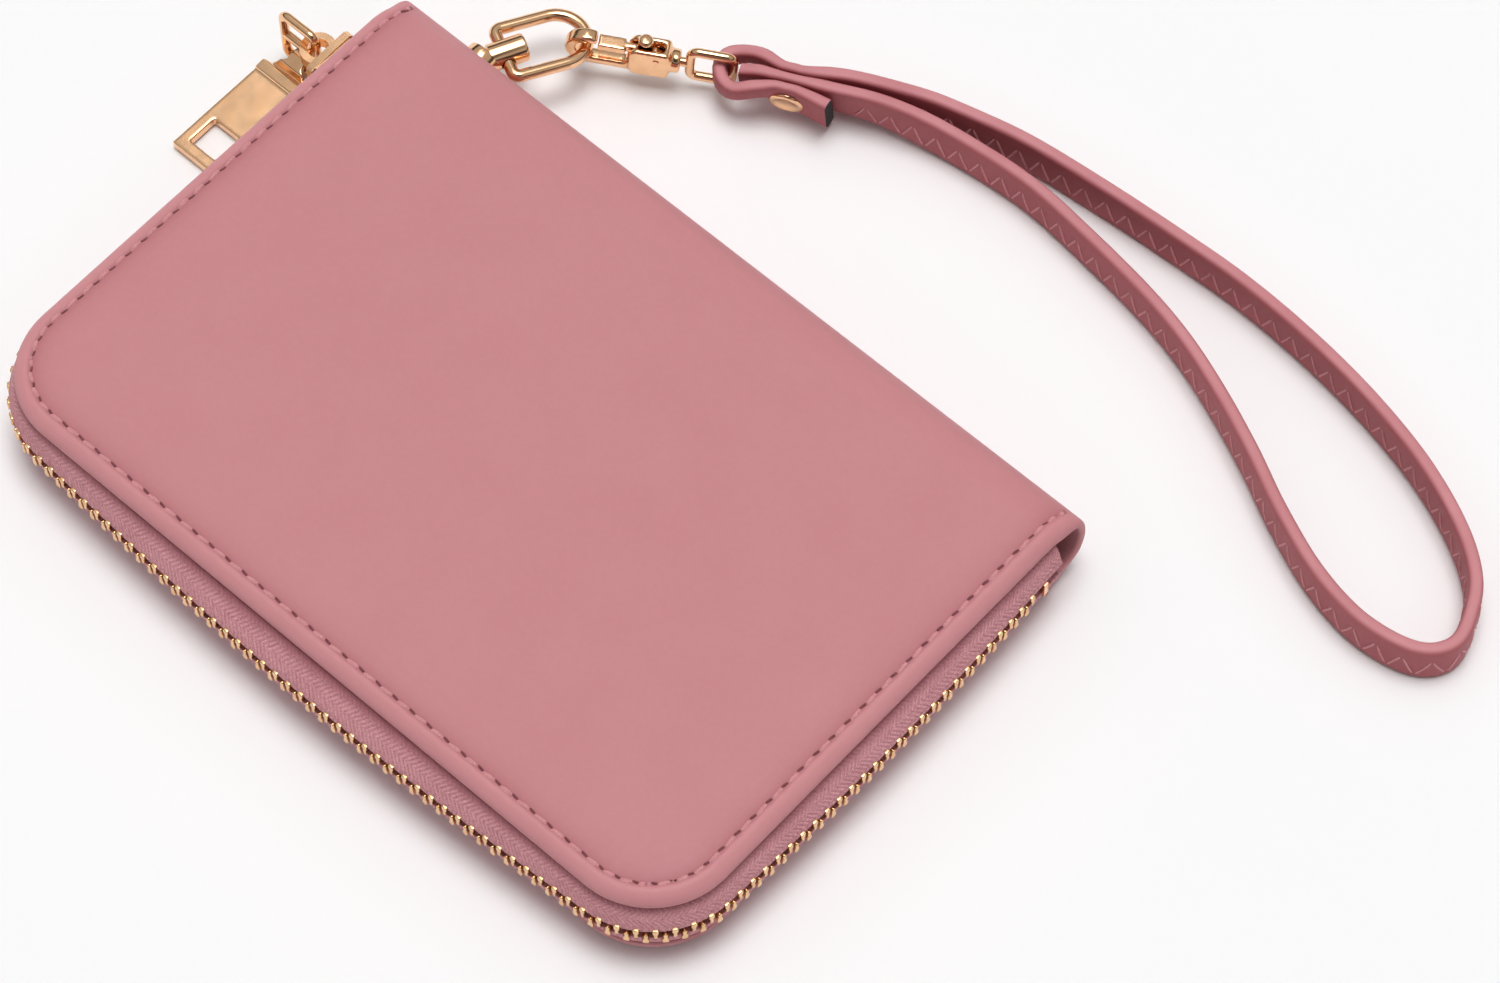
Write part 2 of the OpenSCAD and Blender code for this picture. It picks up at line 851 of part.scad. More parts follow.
// The strap's link: x from its pin to its bow, y along its pin
module strap_link() {
    leg_x = link_bend;
    color(gold)
        translate([pivot_x, pivot_y, mid_z])
            rotate([0, link_drop, -post_angle]) {
                for (side = [-1, 1]) {
                    translate([leg_x, side * link_half_w, 0])
                        rotate([0, 90, 0])
                            cylinder(r = link_wire_r, h = link_leg - leg_x);
                    translate([leg_x, side * (link_half_w - link_bend), 0])
                        rotate([0, 0, side > 0 ? 90 : 180])
                            rotate_extrude(angle = 90)
                                translate([link_bend, 0])
                                    circle(r = link_wire_r);
                    translate([0, side * (link_half_w - link_bend), 0])
                        rotate([side * 90, 0, 0])
                            cylinder(r = link_wire_r, h = link_half_w - link_bend - 0.6);
                }
                translate([link_leg, 0, 0])
                    rotate([0, 0, -90])
                        rotate_extrude(angle = 180)
                            translate([link_half_w, 0])
                                circle(r = link_wire_r);
            }
}

// Puts a piece on the clasp: x along the clasp from the middle of its hook
module on_clasp() {
    translate([hook_x, hook_y, hook_z])
        rotate([0, clasp_slope, -clasp_angle])
            children();
}

// Raises an outline in the clasp's plane to a thickness across it
module across(t) {
    rotate([90, 0, 0])
        linear_extrude(height = t, center = true)
            children();
}

module clasp_blank() {
    across(hook_t)
        circle(r = hook_out);
    across(hook_t)
        translate([0, -hook_out])
            square([collar_x + cut, hook_out + body_top]);
    across(collar_t)
        polygon([
            [collar_x - 0.8, -2.4], [collar_x, -3.2], [boss_x - 0.5, -3.2], [boss_x, -2.7],
            [boss_x, collar_top - 0.5], [boss_x - 0.5, collar_top], [collar_x, collar_top],
            [collar_x - 0.8, body_top]
        ]);
    translate([boss_x - cut, 0, 0])
        rotate([0, 90, 0])
            cylinder(r = boss_r, h = boss_l + cut);
}

module clasp_body() {
    tip_gap = run_gap / 2;
    tall = 2 * hook_out;
    color(gold)
        on_clasp()
            difference() {
                clasp_blank();
                across(2 * collar_t)
                    circle(r = hook_r);
                across(2 * collar_t)
                    translate([0, -hook_r])
                        square([gate_root, 2 * hook_r]);
                across(2 * hook_t)
                    translate([gate_tip - tip_gap, gate_low - tip_gap])
                        square([gate_root + tip_gap - gate_tip, tall]);
                across(gate_slot_w)
                    translate([gate_root - cut, gate_slot_floor])
                        square([gate_slot_x - gate_root + cut, tall]);
                translate([gate_pivot_x, 0, gate_pivot_z])
                    rotate([90, 0, 0])
                        cylinder(r = gate_pin_r + snug, h = 2 * collar_t, center = true);
                translate([stem_head_x - pin_gap, 0, 0])
                    rotate([0, 90, 0])
                        cylinder(r = stem_head_r + pin_gap, h = stem_head_l + 2 * pin_gap);
                translate([stem_head_x, 0, 0])
                    rotate([0, 90, 0])
                        cylinder(r = stem_r + pin_gap, h = boss_l + 3);
            }
}

module clasp_gate() {
    gate_top = body_top;
    color(gold)
        on_clasp()
            difference() {
                union() {
                    across(hook_t)
                        translate([gate_tip, gate_low])
                            square([gate_root - run_gap - gate_tip, gate_top - gate_low]);
                    across(gate_w)
                        translate([gate_root - cut, gate_low])
                            square([gate_pivot_x - gate_root + cut, gate_top - gate_low]);
                    translate([gate_pivot_x, 0, gate_pivot_z])
                        rotate([90, 0, 0])
                            cylinder(r = gate_bush_r, h = gate_w, center = true);
                    across(gate_w)
                        translate([knob_x - knob_r, gate_top - cut])
                            square([2 * knob_r, knob_z - gate_top + 2 * cut - 0.6]);
                    translate([knob_x, 0, knob_z])
                        rotate_extrude()
                            polygon([[0, 0], [knob_r, 0], [knob_r, knob_h / 2],
                                [knob_r * 0.7, knob_h * 0.9], [0, knob_h]]);
                }
                translate([gate_pivot_x, 0, gate_pivot_z])
                    rotate([90, 0, 0])
                        cylinder(r = gate_pin_r + pin_gap, h = 2 * gate_w, center = true);
            }
}

module gate_pin() {
    color(gold)
        on_clasp()
            translate([gate_pivot_x, 0, gate_pivot_z])
                rotate([90, 0, 0])
                    cylinder(r = gate_pin_r, h = collar_t, center = true);
}

// A folded leaf spring in the clasp's slot, under the gate
module gate_spring() {
    floor_z = gate_slot_floor;
    color(gold)
        on_clasp()
            across(gate_w)
                polygon([
                    [gate_root + 0.6, floor_z], [gate_root + 3.6, floor_z],
                    [gate_root + 3.6, floor_z + 0.2], [gate_root + 1.1, floor_z + 0.2],
                    [gate_root + 3.5, gate_low - 0.25], [gate_root + 3.4, gate_low - 0.08],
                    [gate_root + 0.6, floor_z + 0.25]
                ]);
}

// The ring's stem turns in the clasp, and the strap folds round its far bar
module strap_ring() {
    color(gold)
        on_clasp() {
            translate([ring_x, 0, 0])
                wire_loop(ring_l, ring_h, 1.2, ring_wire_r);
            translate([stem_head_x, 0, 0])
                rotate([0, 90, 0]) {
                    cylinder(r = stem_head_r, h = stem_head_l);
                    cylinder(r = stem_r, h = ring_x - stem_head_x);
                }
        }
}

// Puts a piece at the ring's bar
module at_bar() {
    translate([strap_x, strap_y, 0])
        children();
}

// Puts a piece on the rivet's axis: z points out of the tail
module on_rivet() {
    at_bar()
        translate([strap_dir[0] * rivet_x, strap_dir[1] * rivet_x, strap_w / 2])
            rotate([0, 0, -strap_angle])
                rotate([90, 0, 0])
                    children();
}

// The strap in plan, pressed flat under the rivet's ends
module strap_plan() {
    seat = rivet_cap_r + run_gap;
    difference() {
        polygon(concat(
            side_points(strap_path, strap_t / 2),
            reversed(side_points(strap_path, -strap_t / 2))
        ));
        rotate(-strap_angle)
            for (y = [-stack - strap_t, stack])
                translate([rivet_x - seat, y])
                    square([2 * seat, strap_t]);
    }
}

module wrist_strap() {
    color(leather)
        difference() {
            at_bar()
                linear_extrude(height = strap_w)
                    strap_plan();
            at_bar()
                translate([0, 0, -cut])
                    cylinder(r = notch_r, h = notch_h + cut);
            on_rivet()
                cylinder(r = rivet_r + snug, h = 6 * strap_t, center = true);
        }
}

module strap_rivet() {
    color(gold)
        on_rivet() {
            translate([0, 0, burr_z])
                cylinder(r = rivet_r, h = stack - burr_z);
            translate([0, 0, stack])
                rotate_extrude()
                    polygon([[0, 0], [rivet_cap_r, 0], [rivet_cap_r, 0.3],
                        [rivet_cap_r * 0.75, rivet_cap_h * 0.85], [0, rivet_cap_h]]);
        }
}

module rivet_burr() {
    color(gold)
        on_rivet()
            translate([0, 0, burr_z])
                difference() {
                    cylinder(r = burr_r, h = burr_t);
                    translate([0, 0, -cut])
                        cylinder(r = rivet_r + snug, h = burr_t + 2 * cut);
                }
}

back_cover();
back_board();
back_lining();
spine_lining();
bill_pocket();
back_card_pocket(1);  // back_card_pocket_1
back_card_pocket(2);  // back_card_pocket_2
back_card_pocket(3);  // back_card_pocket_3
lower_zip_tape();
lower_teeth();
lower_run_teeth();
lower_top_stop();
bottom_stop();
anchor_post();
anchor_washer();
anchor_screw();
front_cover();
front_board();
front_lining();
front_card_pocket(1);  // front_card_pocket_1
front_card_pocket(2);  // front_card_pocket_2
front_card_pocket(3);  // front_card_pocket_3
front_card_pocket(4);  // front_card_pocket_4
upper_zip_tape();
upper_teeth();
upper_run_teeth();
upper_top_stop();
zip_slider();
pull_link();
pull_tab();
strap_link();
clasp_body();
clasp_gate();
gate_pin();
gate_spring();
strap_ring();
wrist_strap();
strap_rivet();
rivet_burr();
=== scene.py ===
"""Dresses a zip-around wallet with a wrist strap: leather, zip, pockets, hardware and studio."""

import logging
import math
from dataclasses import dataclass, field
from enum import Enum
from typing import Any, Iterable, Sequence, Union

import bpy
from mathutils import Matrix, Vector


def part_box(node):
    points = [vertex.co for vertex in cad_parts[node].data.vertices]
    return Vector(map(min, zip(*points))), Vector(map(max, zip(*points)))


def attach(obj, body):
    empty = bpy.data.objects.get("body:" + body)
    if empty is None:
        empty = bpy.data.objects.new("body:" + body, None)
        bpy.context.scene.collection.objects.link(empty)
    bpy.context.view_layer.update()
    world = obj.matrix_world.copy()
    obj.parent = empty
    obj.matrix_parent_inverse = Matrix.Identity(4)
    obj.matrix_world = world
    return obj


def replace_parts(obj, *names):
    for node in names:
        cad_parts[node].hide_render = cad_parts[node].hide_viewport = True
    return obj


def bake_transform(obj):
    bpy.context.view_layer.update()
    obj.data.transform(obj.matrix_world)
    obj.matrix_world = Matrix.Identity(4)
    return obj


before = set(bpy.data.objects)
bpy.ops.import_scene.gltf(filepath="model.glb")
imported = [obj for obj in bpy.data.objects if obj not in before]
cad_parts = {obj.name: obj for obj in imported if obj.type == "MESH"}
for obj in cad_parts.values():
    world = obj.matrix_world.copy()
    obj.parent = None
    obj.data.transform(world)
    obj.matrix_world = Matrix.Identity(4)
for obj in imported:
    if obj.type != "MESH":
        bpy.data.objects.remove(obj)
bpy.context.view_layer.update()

MM = 0.001
TINY = 1e-9
ALL_SMOOTH_DEG = 180.0
LAMP_AT = (0.06, 0.01, 0.998)
LOG = logging.getLogger("wallet")

Point = tuple[float, float, float]
Colour = tuple[float, float, float]
Pair = tuple[float, float]
Operand = Union["Value", int, float]


class Half(Enum):
    """The two halves of the wallet, by the body that carries each."""

    FRONT = "front_half"
    BACK = "back_half"


class Slot(Enum):
    """Material slots of the record, which this script lists but doesn't give to its pieces."""

    LEATHER = "leather"
    STRAP = "strap_leather"
    LINING = "lining"
    TAPE = "zip_tape"
    GOLD = "gold_metal"


def smooth_step(low: float, high: float, x: float) -> float:
    """Rises smoothly from 0 at low to 1 at high.

    Args:
        low: Where the rise starts.
        high: Where the rise ends.
        x: Place between them.

    Returns:
        A share from 0 to 1.
    """
    t = min(1.0, max(0.0, (x - low) / (high - low)))
    return t * t * (3 - 2 * t)


def srgb(red: int, green: int, blue: int) -> Colour:
    """Turns a colour of 0 to 255 into the linear colour that shaders use.

    Args:
        red: Red, 0 to 255.
        green: Green, 0 to 255.
        blue: Blue, 0 to 255.

    Returns:
        The linear colour.
    """

    def linear(value: int) -> float:
        """Gives one channel in linear light."""
        v = value / 255
        return v / 12.92 if v <= 0.04045 else ((v + 0.055) / 1.055) ** 2.4

    return (linear(red), linear(green), linear(blue))


def left_of(way: Vector) -> Vector:
    """Gives the direction to the left of another one in plan."""
    return Vector((-way.y, way.x))


class Value:
    """A shader socket that adds Math nodes when Python's operators are used on it."""

    def __init__(self, nodes: "Nodes", socket: bpy.types.NodeSocket) -> None:
        """Wraps a socket of a node tree.

        Args:
            nodes: The tree that owns the socket.
            socket: The output socket to wrap.
        """
        self.nodes = nodes
        self.socket = socket

    def _math(self, operation: str, *values: Operand) -> "Value":
        """Adds a Math node on the given values."""
        return self.nodes.node("ShaderNodeMath", {"operation": operation}, dict(enumerate(values)))

    def __add__(self, other: Operand) -> "Value":
        """Adds."""
        return self._math("ADD", self, other)

    __radd__ = __add__

    def __sub__(self, other: Operand) -> "Value":
        """Subtracts."""
        return self._math("SUBTRACT", self, other)

    def __rsub__(self, other: Operand) -> "Value":
        """Subtracts from a number."""
        return self._math("SUBTRACT", other, self)

    def __mul__(self, other: Operand) -> "Value":
        """Multiplies."""
        return self._math("MULTIPLY", self, other)

    __rmul__ = __mul__

    def __truediv__(self, other: Operand) -> "Value":
        """Divides."""
        return self._math("DIVIDE", self, other)

    def __mod__(self, other: Operand) -> "Value":
        """Gives the remainder, never below 0."""
        return self._math("FLOORED_MODULO", self, other)

    def floor(self) -> "Value":
        """Rounds down."""
        return self._math("FLOOR", self)

    def wave(self) -> "Value":
        """Gives a wave from 0 to 1 with a period of 1."""
        return self._math("SINE", self * math.tau) * 0.5 + 0.5

    def clamp(self) -> "Value":
        """Keeps the value from 0 to 1."""
        return self._math("MINIMUM", self._math("MAXIMUM", self, 0.0), 1.0)

    def rise(self, low: float, high: float) -> "Value":
        """Rises straight from 0 at low to 1 at high, and stays there."""
        return ((self - low) / (high - low)).clamp()


class Nodes:
    """Adds nodes to a tree."""

    def __init__(self, tree: bpy.types.NodeTree) -> None:
        """Takes the tree of a material or a world."""
        self.tree = tree

    def plug(self, socket: bpy.types.NodeSocket, value: Any) -> None:
        """Links a Value into a socket, or sets the socket to a number or colour.

        Args:
            socket: The input socket.
            value: The Value, number, vector or colour.
        """
        if isinstance(value, Value):
            self.tree.links.new(value.socket, socket)
        elif socket.type == "RGBA" and len(value) == 3:
            socket.default_value = (*value, 1.0)
        else:
            socket.default_value = value

    def node(
        self,
        kind: str,
        settings: dict[str, Any] | None = None,
        sockets: dict[int | str, Any] | None = None,
        out: int | str = 0,
    ) -> Value:
        """Adds a node.

        Args:
            kind: The node's type.
            settings: Properties to set first.
            sockets: Values or links of the inputs, by name or place.
            out: The output to give back.

        Returns:
            The chosen output.
        """
        made = self.tree.nodes.new(kind)
        for name, value in (settings or {}).items():
            setattr(made, name, value)
        for name, value in (sockets or {}).items():
            self.plug(made.inputs[name], value)
        return Value(self, made.outputs[out])


class Shader(Nodes):
    """Builds a material's nodes."""

    def __init__(self, name: str) -> None:
        """Makes a material with an empty Principled surface.

        Args:
            name: The material's name.
        """
        self.material = bpy.data.materials.new(name)
        self.material.use_nodes = True
        super().__init__(self.material.node_tree)
        self.surface = self.tree.nodes["Principled BSDF"]

    def place(self) -> Value:
        """Gives the place on the object, in metres."""
        return self.node("ShaderNodeTexCoord", out="Object")

    def attribute(self, name: str) -> Value:
        """Gives a number that is kept on the mesh's points."""
        return self.node("ShaderNodeAttribute", {"attribute_name": name}, out="Fac")

    def noise(self, size_mm: float, detail: float = 2.0, stretch: Point | None = None) -> Value:
        """Gives soft noise.

        Args:
            size_mm: Size of its blotches in millimetres.
            detail: How much finer detail it has.
            stretch: Scale of the place along each axis, or None.

        Returns:
            The noise, about 0.5 in the middle.
        """
        place = self.place()
        if stretch:
            place = self.node(
                "ShaderNodeVectorMath", {"operation": "MULTIPLY"}, {0: place, 1: stretch}
            )
        return self.node(
            "ShaderNodeTexNoise",
            None,
            {"Vector": place, "Scale": 1 / (size_mm * MM), "Detail": detail},
        )

    def cells(self, size_mm: float) -> Value:
        """Gives the distance to the nearest of many scattered points, as in leather grain.

        Args:
            size_mm: About how far apart the points are, in millimetres.

        Returns:
            The distance, as a share of that size.
        """
        return self.node(
            "ShaderNodeTexVoronoi", None, {"Vector": self.place(), "Scale": 1 / (size_mm * MM)}
        )

    def mix(self, share: Value, low: Any, high: Any) -> Value:
        """Mixes two colours.

        Args:
            share: 0 gives low and 1 gives high.
            low: A colour or a link.
            high: A colour or a link.

        Returns:
            The mixed colour.
        """
        return self.node(
            "ShaderNodeMix", {"data_type": "RGBA"}, {0: share, 6: low, 7: high}, out=2
        )

    def bump(
        self, height: Value, depth_mm: float, strength: float = 1.0, under: Value | None = None
    ) -> Value:
        """Turns a height into a normal.

        Args:
            height: The height, 0 to 1.
            depth_mm: What a height of 1 stands for.
            strength: How strongly it shows.
            under: A normal that it lies on, or None.

        Returns:
            The normal.
        """
        sockets = {"Strength": strength, "Distance": depth_mm * MM, "Height": height}
        if under:
            sockets["Normal"] = under
        return self.node("ShaderNodeBump", None, sockets)

    def finish(self, **sockets: Any) -> bpy.types.Material:
        """Sets the surface's sockets, where an underscore stands for a space.

        Args:
            **sockets: Values or links by socket name.

        Returns:
            The material.
        """
        for name, value in sockets.items():
            self.plug(self.surface.inputs[name.replace("_", " ")], value)
        return self.material


@dataclass(frozen=True)
class LeatherFinish:
    """Smooth faux leather with a fine grain, paler where worn with a painted highlight, and with
    painted shade in a sewn groove.
    """

    name: str
    colour: Colour
    shade: Colour
    # Colour of worn edges, which also carries a painted highlight.
    rubbed: Colour
    roughness: float = 0.58
    grain_mm: float = 0.42
    grain_share: float = 0.55
    grain_depth_mm: float = 0.03
    fine_mm: float = 0.9
    blotch_mm: float = 11.0
    swell_mm: float = 26.0
    swell_depth_mm: float = 0.35
    # Painted shade along the seam's groove: its colour and how strongly it shows.
    seam_shade_colour: Colour = srgb(165, 92, 99)
    crease: float = 0.52
    # Least share and patchiness of the wear with painted highlight.
    rub_least: float = 0.45
    rub_patches: float = 0.8
    gloss: float = 0.32

    def make(self) -> bpy.types.Material:
        """Builds the material; the mesh's marks say where it is worn with a painted highlight and
        where shade is painted in the seam's groove.

        Returns:
            The material.
        """
        shader = Shader(self.name)
        blotch = shader.noise(self.blotch_mm, 3)
        fine = shader.noise(self.fine_mm, 3)
        grain = shader.cells(self.grain_mm)
        # Worn edges with a painted highlight, in patches.
        rub = (shader.attribute("rub") * (self.rub_least + blotch * self.rub_patches)).clamp()
        tone = (blotch * 0.7 + fine * 0.5 - 0.35).clamp()
        body = shader.mix(tone, self.colour, self.shade)
        # Painted shade in the seam's groove.
        groove = (shader.attribute("groove") * self.crease).clamp()
        body = shader.mix(groove, body, self.seam_shade_colour)
        swell = shader.bump(shader.noise(self.swell_mm, 1), self.swell_depth_mm)
        relief = grain * self.grain_share + fine * (1 - self.grain_share)
        return shader.finish(
            Base_Color=shader.mix(rub, body, self.rubbed),
            Roughness=self.roughness + (fine - 0.5) * 0.16 + (blotch - 0.5) * 0.08 - rub * 0.08,
            Normal=shader.bump(relief, self.grain_depth_mm, 1.0, swell),
            Specular_IOR_Level=self.gloss,
        )


@dataclass(frozen=True)
class TapeFinish:
    """Woven zip tape: herringbone bands, a plain cord beside the teeth and painted shade on the
    side under the rolled rim.
    """

    name: str
    light: Colour
    dark: Colour
    # Painted shade where the tape runs under the rolled rim, and the depths below the rim over
    # which it fades out.
    sewn: Colour
    rim_shade_mm: Pair = (0.6, 2.3)
    rib_mm: float = 0.8
    band_mm: float = 1.25
    cord_mm: float = 1.3
    cord_soft_mm: float = 0.2
    thread_mm: float = 0.2
    thread_range: Pair = (0.34, 0.68)
    fuzz_mm: float = 0.55
    blotch_mm: float = 6.0
    relief_mm: float = 0.17
    roughness: float = 0.78
    gloss: float = 0.25

    def make(self) -> bpy.types.Material:
        """Builds the material from the mesh's along, edge and deep distances in millimetres.

        Returns:
            The material.
        """
        shader = Shader(self.name)
        along = shader.attribute("along")
        edge = shader.attribute("edge")
        # Share out of the painted shade under the rim.
        deep = shader.attribute("deep").rise(*self.rim_shade_mm)
        band = (edge / self.band_mm).floor()
        lean = (band % 2.0) * 2.0 - 1.0
        inside = edge - band * self.band_mm
        weave = edge.rise(self.cord_mm - self.cord_soft_mm, self.cord_mm)
        rib = ((along + lean * inside * weave) / self.rib_mm).wave()
        thread = shader.noise(self.thread_mm, 2)
        fuzz = shader.noise(self.fuzz_mm, 3)
        blotch = shader.noise(self.blotch_mm, 2)
        fleck = thread.rise(*self.thread_range)
        tone = (rib * 0.2 + fleck * 0.5 + fuzz * 0.5 + blotch * 0.2 - 0.3).clamp()
        return shader.finish(
            Base_Color=shader.mix(deep, self.sewn, shader.mix(tone, self.dark, self.light)),
            Roughness=self.roughness + thread * 0.14,
            Normal=shader.bump(rib * 0.55 + thread * 0.3 + fuzz * 0.15, self.relief_mm),
            Specular_IOR_Level=self.gloss,
        )


@dataclass(frozen=True)
class ClothFinish:
    """Plain woven lining."""

    name: str
    light: Colour
    dark: Colour
    thread_mm: float = 0.5
    fuzz_mm: float = 0.3
    blotch_mm: float = 9.0
    relief_mm: float = 0.12
    roughness: float = 0.74
    gloss: float = 0.25

    def make(self) -> bpy.types.Material:
        """Builds the material.

        Returns:
            The material.
        """
        shader = Shader(self.name)
        warp, weft = (
            (
                shader.node("ShaderNodeSeparateXYZ", None, {0: shader.place()}, out=axis)
                / (self.thread_mm * MM)
            ).wave()
            for axis in ("X", "Y")
        )
        weave = warp * weft + (1 - warp) * (1 - weft)
        fuzz = shader.noise(self.fuzz_mm, 3)
        blotch = shader.noise(self.blotch_mm, 2)
        tone = (weave * 0.6 + fuzz * 0.35 + blotch * 0.3 - 0.12).clamp()
        return shader.finish(
            Base_Color=shader.mix(tone, self.dark, self.light),
            Roughness=self.roughness + fuzz * 0.16,
            Normal=shader.bump(weave * 0.75 + fuzz * 0.25, self.relief_mm),
            Specular_IOR_Level=self.gloss,
        )


@dataclass(frozen=True)
class MetalFinish:
    """Polished plating with faint wear."""

    name: str
    colour: Colour
    worn: Colour
    roughness: float = 0.13
    smear_mm: float = 2.6
    smear_colour: Pair = (0.42, 0.85)
    smear_dull: Pair = (0.35, 0.8)
    dulling: float = 0.09
    ripple_mm: float = 5.5
    ripple_depth_mm: float = 0.04

    def make(self) -> bpy.types.Material:
        """Builds the material.

        Returns:
            The material.
        """
        shader = Shader(self.name)
        smear = shader.noise(self.smear_mm, 3)
        ripple = shader.noise(self.ripple_mm, 1)
        return shader.finish(
            Base_Color=shader.mix(smear.rise(*self.smear_colour), self.colour, self.worn),
            Roughness=self.roughness + smear.rise(*self.smear_dull) * self.dulling,
            Normal=shader.bump(ripple, self.ripple_depth_mm),
            Metallic=1.0,
        )


@dataclass(frozen=True)
class ThreadFinish:
    """Twisted sewing thread."""

    name: str
    light: Colour
    dark: Colour
    twist_mm: float = 0.22
    stretch: Point = (1.0, 1.0, 2.0)
    relief_mm: float = 0.08
    roughness: float = 0.6
    gloss: float = 0.3

    def make(self) -> bpy.types.Material:
        """Builds the material.

        Returns:
            The material.
        """
        shader = Shader(self.name)
        twist = shader.noise(self.twist_mm, 2, self.stretch)
        return shader.finish(
            Base_Color=shader.mix(twist.rise(0.3, 0.7), self.dark, self.light),
            Roughness=self.roughness + twist * 0.2,
            Normal=shader.bump(twist, self.relief_mm),
            Specular_IOR_Level=self.gloss,
        )


@dataclass(frozen=True)
class PlainFinish:
    """A dull material with a fine mottle, for hidden boards, the painted shade of needle holes and
    the cut core.
    """

    name: str
    light: Colour
    dark: Colour
    size_mm: float = 0.6
    roughness: float = 0.8
    relief_mm: float = 0.08

    def make(self) -> bpy.types.Material:
        """Builds the material.

        Returns:
            The material.
        """
        shader = Shader(self.name)
        mottle = shader.noise(self.size_mm, 4)
        return shader.finish(
            Base_Color=shader.mix(mottle.rise(0.3, 0.7), self.dark, self.light),
            Roughness=self.roughness + (mottle - 0.5) * 0.2,
            Normal=shader.bump(mottle, self.relief_mm),
        )


@dataclass(frozen=True)
class FloorFinish:
    """Plain pale sweep that keeps the wallet's shadow."""

    name: str
    colour: Colour
    haze_mm: float = 160.0
    haze_dim: float = 0.99
    roughness: float = 0.85
    gloss: float = 0.1

    def make(self) -> bpy.types.Material:
        """Builds the material.

        Returns:
            The material.
        """
        shader = Shader(self.name)
        haze = shader.noise(self.haze_mm, 2)
        dimmed = tuple(self.haze_dim * c for c in self.colour)
        return shader.finish(
            Base_Color=shader.mix(haze, self.colour, dimmed),
            Roughness=self.roughness + haze * 0.05,
            Specular_IOR_Level=self.gloss,
        )


class Finishes:
    """Every finish of the wallet, made once."""

    def __init__(self) -> None:
        """Makes the materials."""
        # Each leather's third colour is its worn edge with a painted highlight.
        self.leather = LeatherFinish(
            "cover_leather", srgb(201, 134, 138), srgb(194, 126, 131), srgb(208, 141, 145)
        ).make()
        # The strap's third colour is the painted highlight, with wear, on its upper edge.
        self.strap = LeatherFinish(
            "strap_leather", srgb(173, 93, 98), srgb(160, 80, 86), srgb(209, 140, 145), 0.6, 0.5
        ).make()
        self.pocket = LeatherFinish(
            "pocket_leather", srgb(200, 136, 140), srgb(190, 125, 130), srgb(212, 148, 151), 0.6
        ).make()
        # The tape's third colour is the painted shade under the rim.
        self.tape = TapeFinish(
            "zip_tape", srgb(241, 182, 187), srgb(180, 113, 121), srgb(138, 75, 83)
        ).make()
        self.lining = ClothFinish("lining_cloth", srgb(214, 160, 166), srgb(186, 130, 138)).make()
        self.gold = MetalFinish("rose_gold", srgb(243, 196, 153), srgb(230, 178, 132)).make()
        self.teeth = MetalFinish(
            "gold_teeth", srgb(236, 196, 146), srgb(212, 164, 114), 0.2
        ).make()
        self.steel = MetalFinish(
            "spring_steel", srgb(190, 190, 192), srgb(160, 160, 164), 0.28
        ).make()
        self.thread = ThreadFinish("seam_thread", srgb(221, 157, 160), srgb(198, 130, 135)).make()
        self.zigzag = ThreadFinish("strap_thread", srgb(224, 162, 166), srgb(196, 128, 134)).make()
        # Dark tubes at the needle holes paint the holes' shade.
        self.hole_shade = PlainFinish("needle_hole_shade", srgb(138, 76, 82), srgb(108, 54, 60)).make()
        self.core = PlainFinish("cut_core", srgb(58, 52, 52), srgb(26, 23, 24), 0.4).make()
        self.board = PlainFinish(
            "stiff_board", srgb(150, 140, 128), srgb(126, 116, 106), 1.2
        ).make()


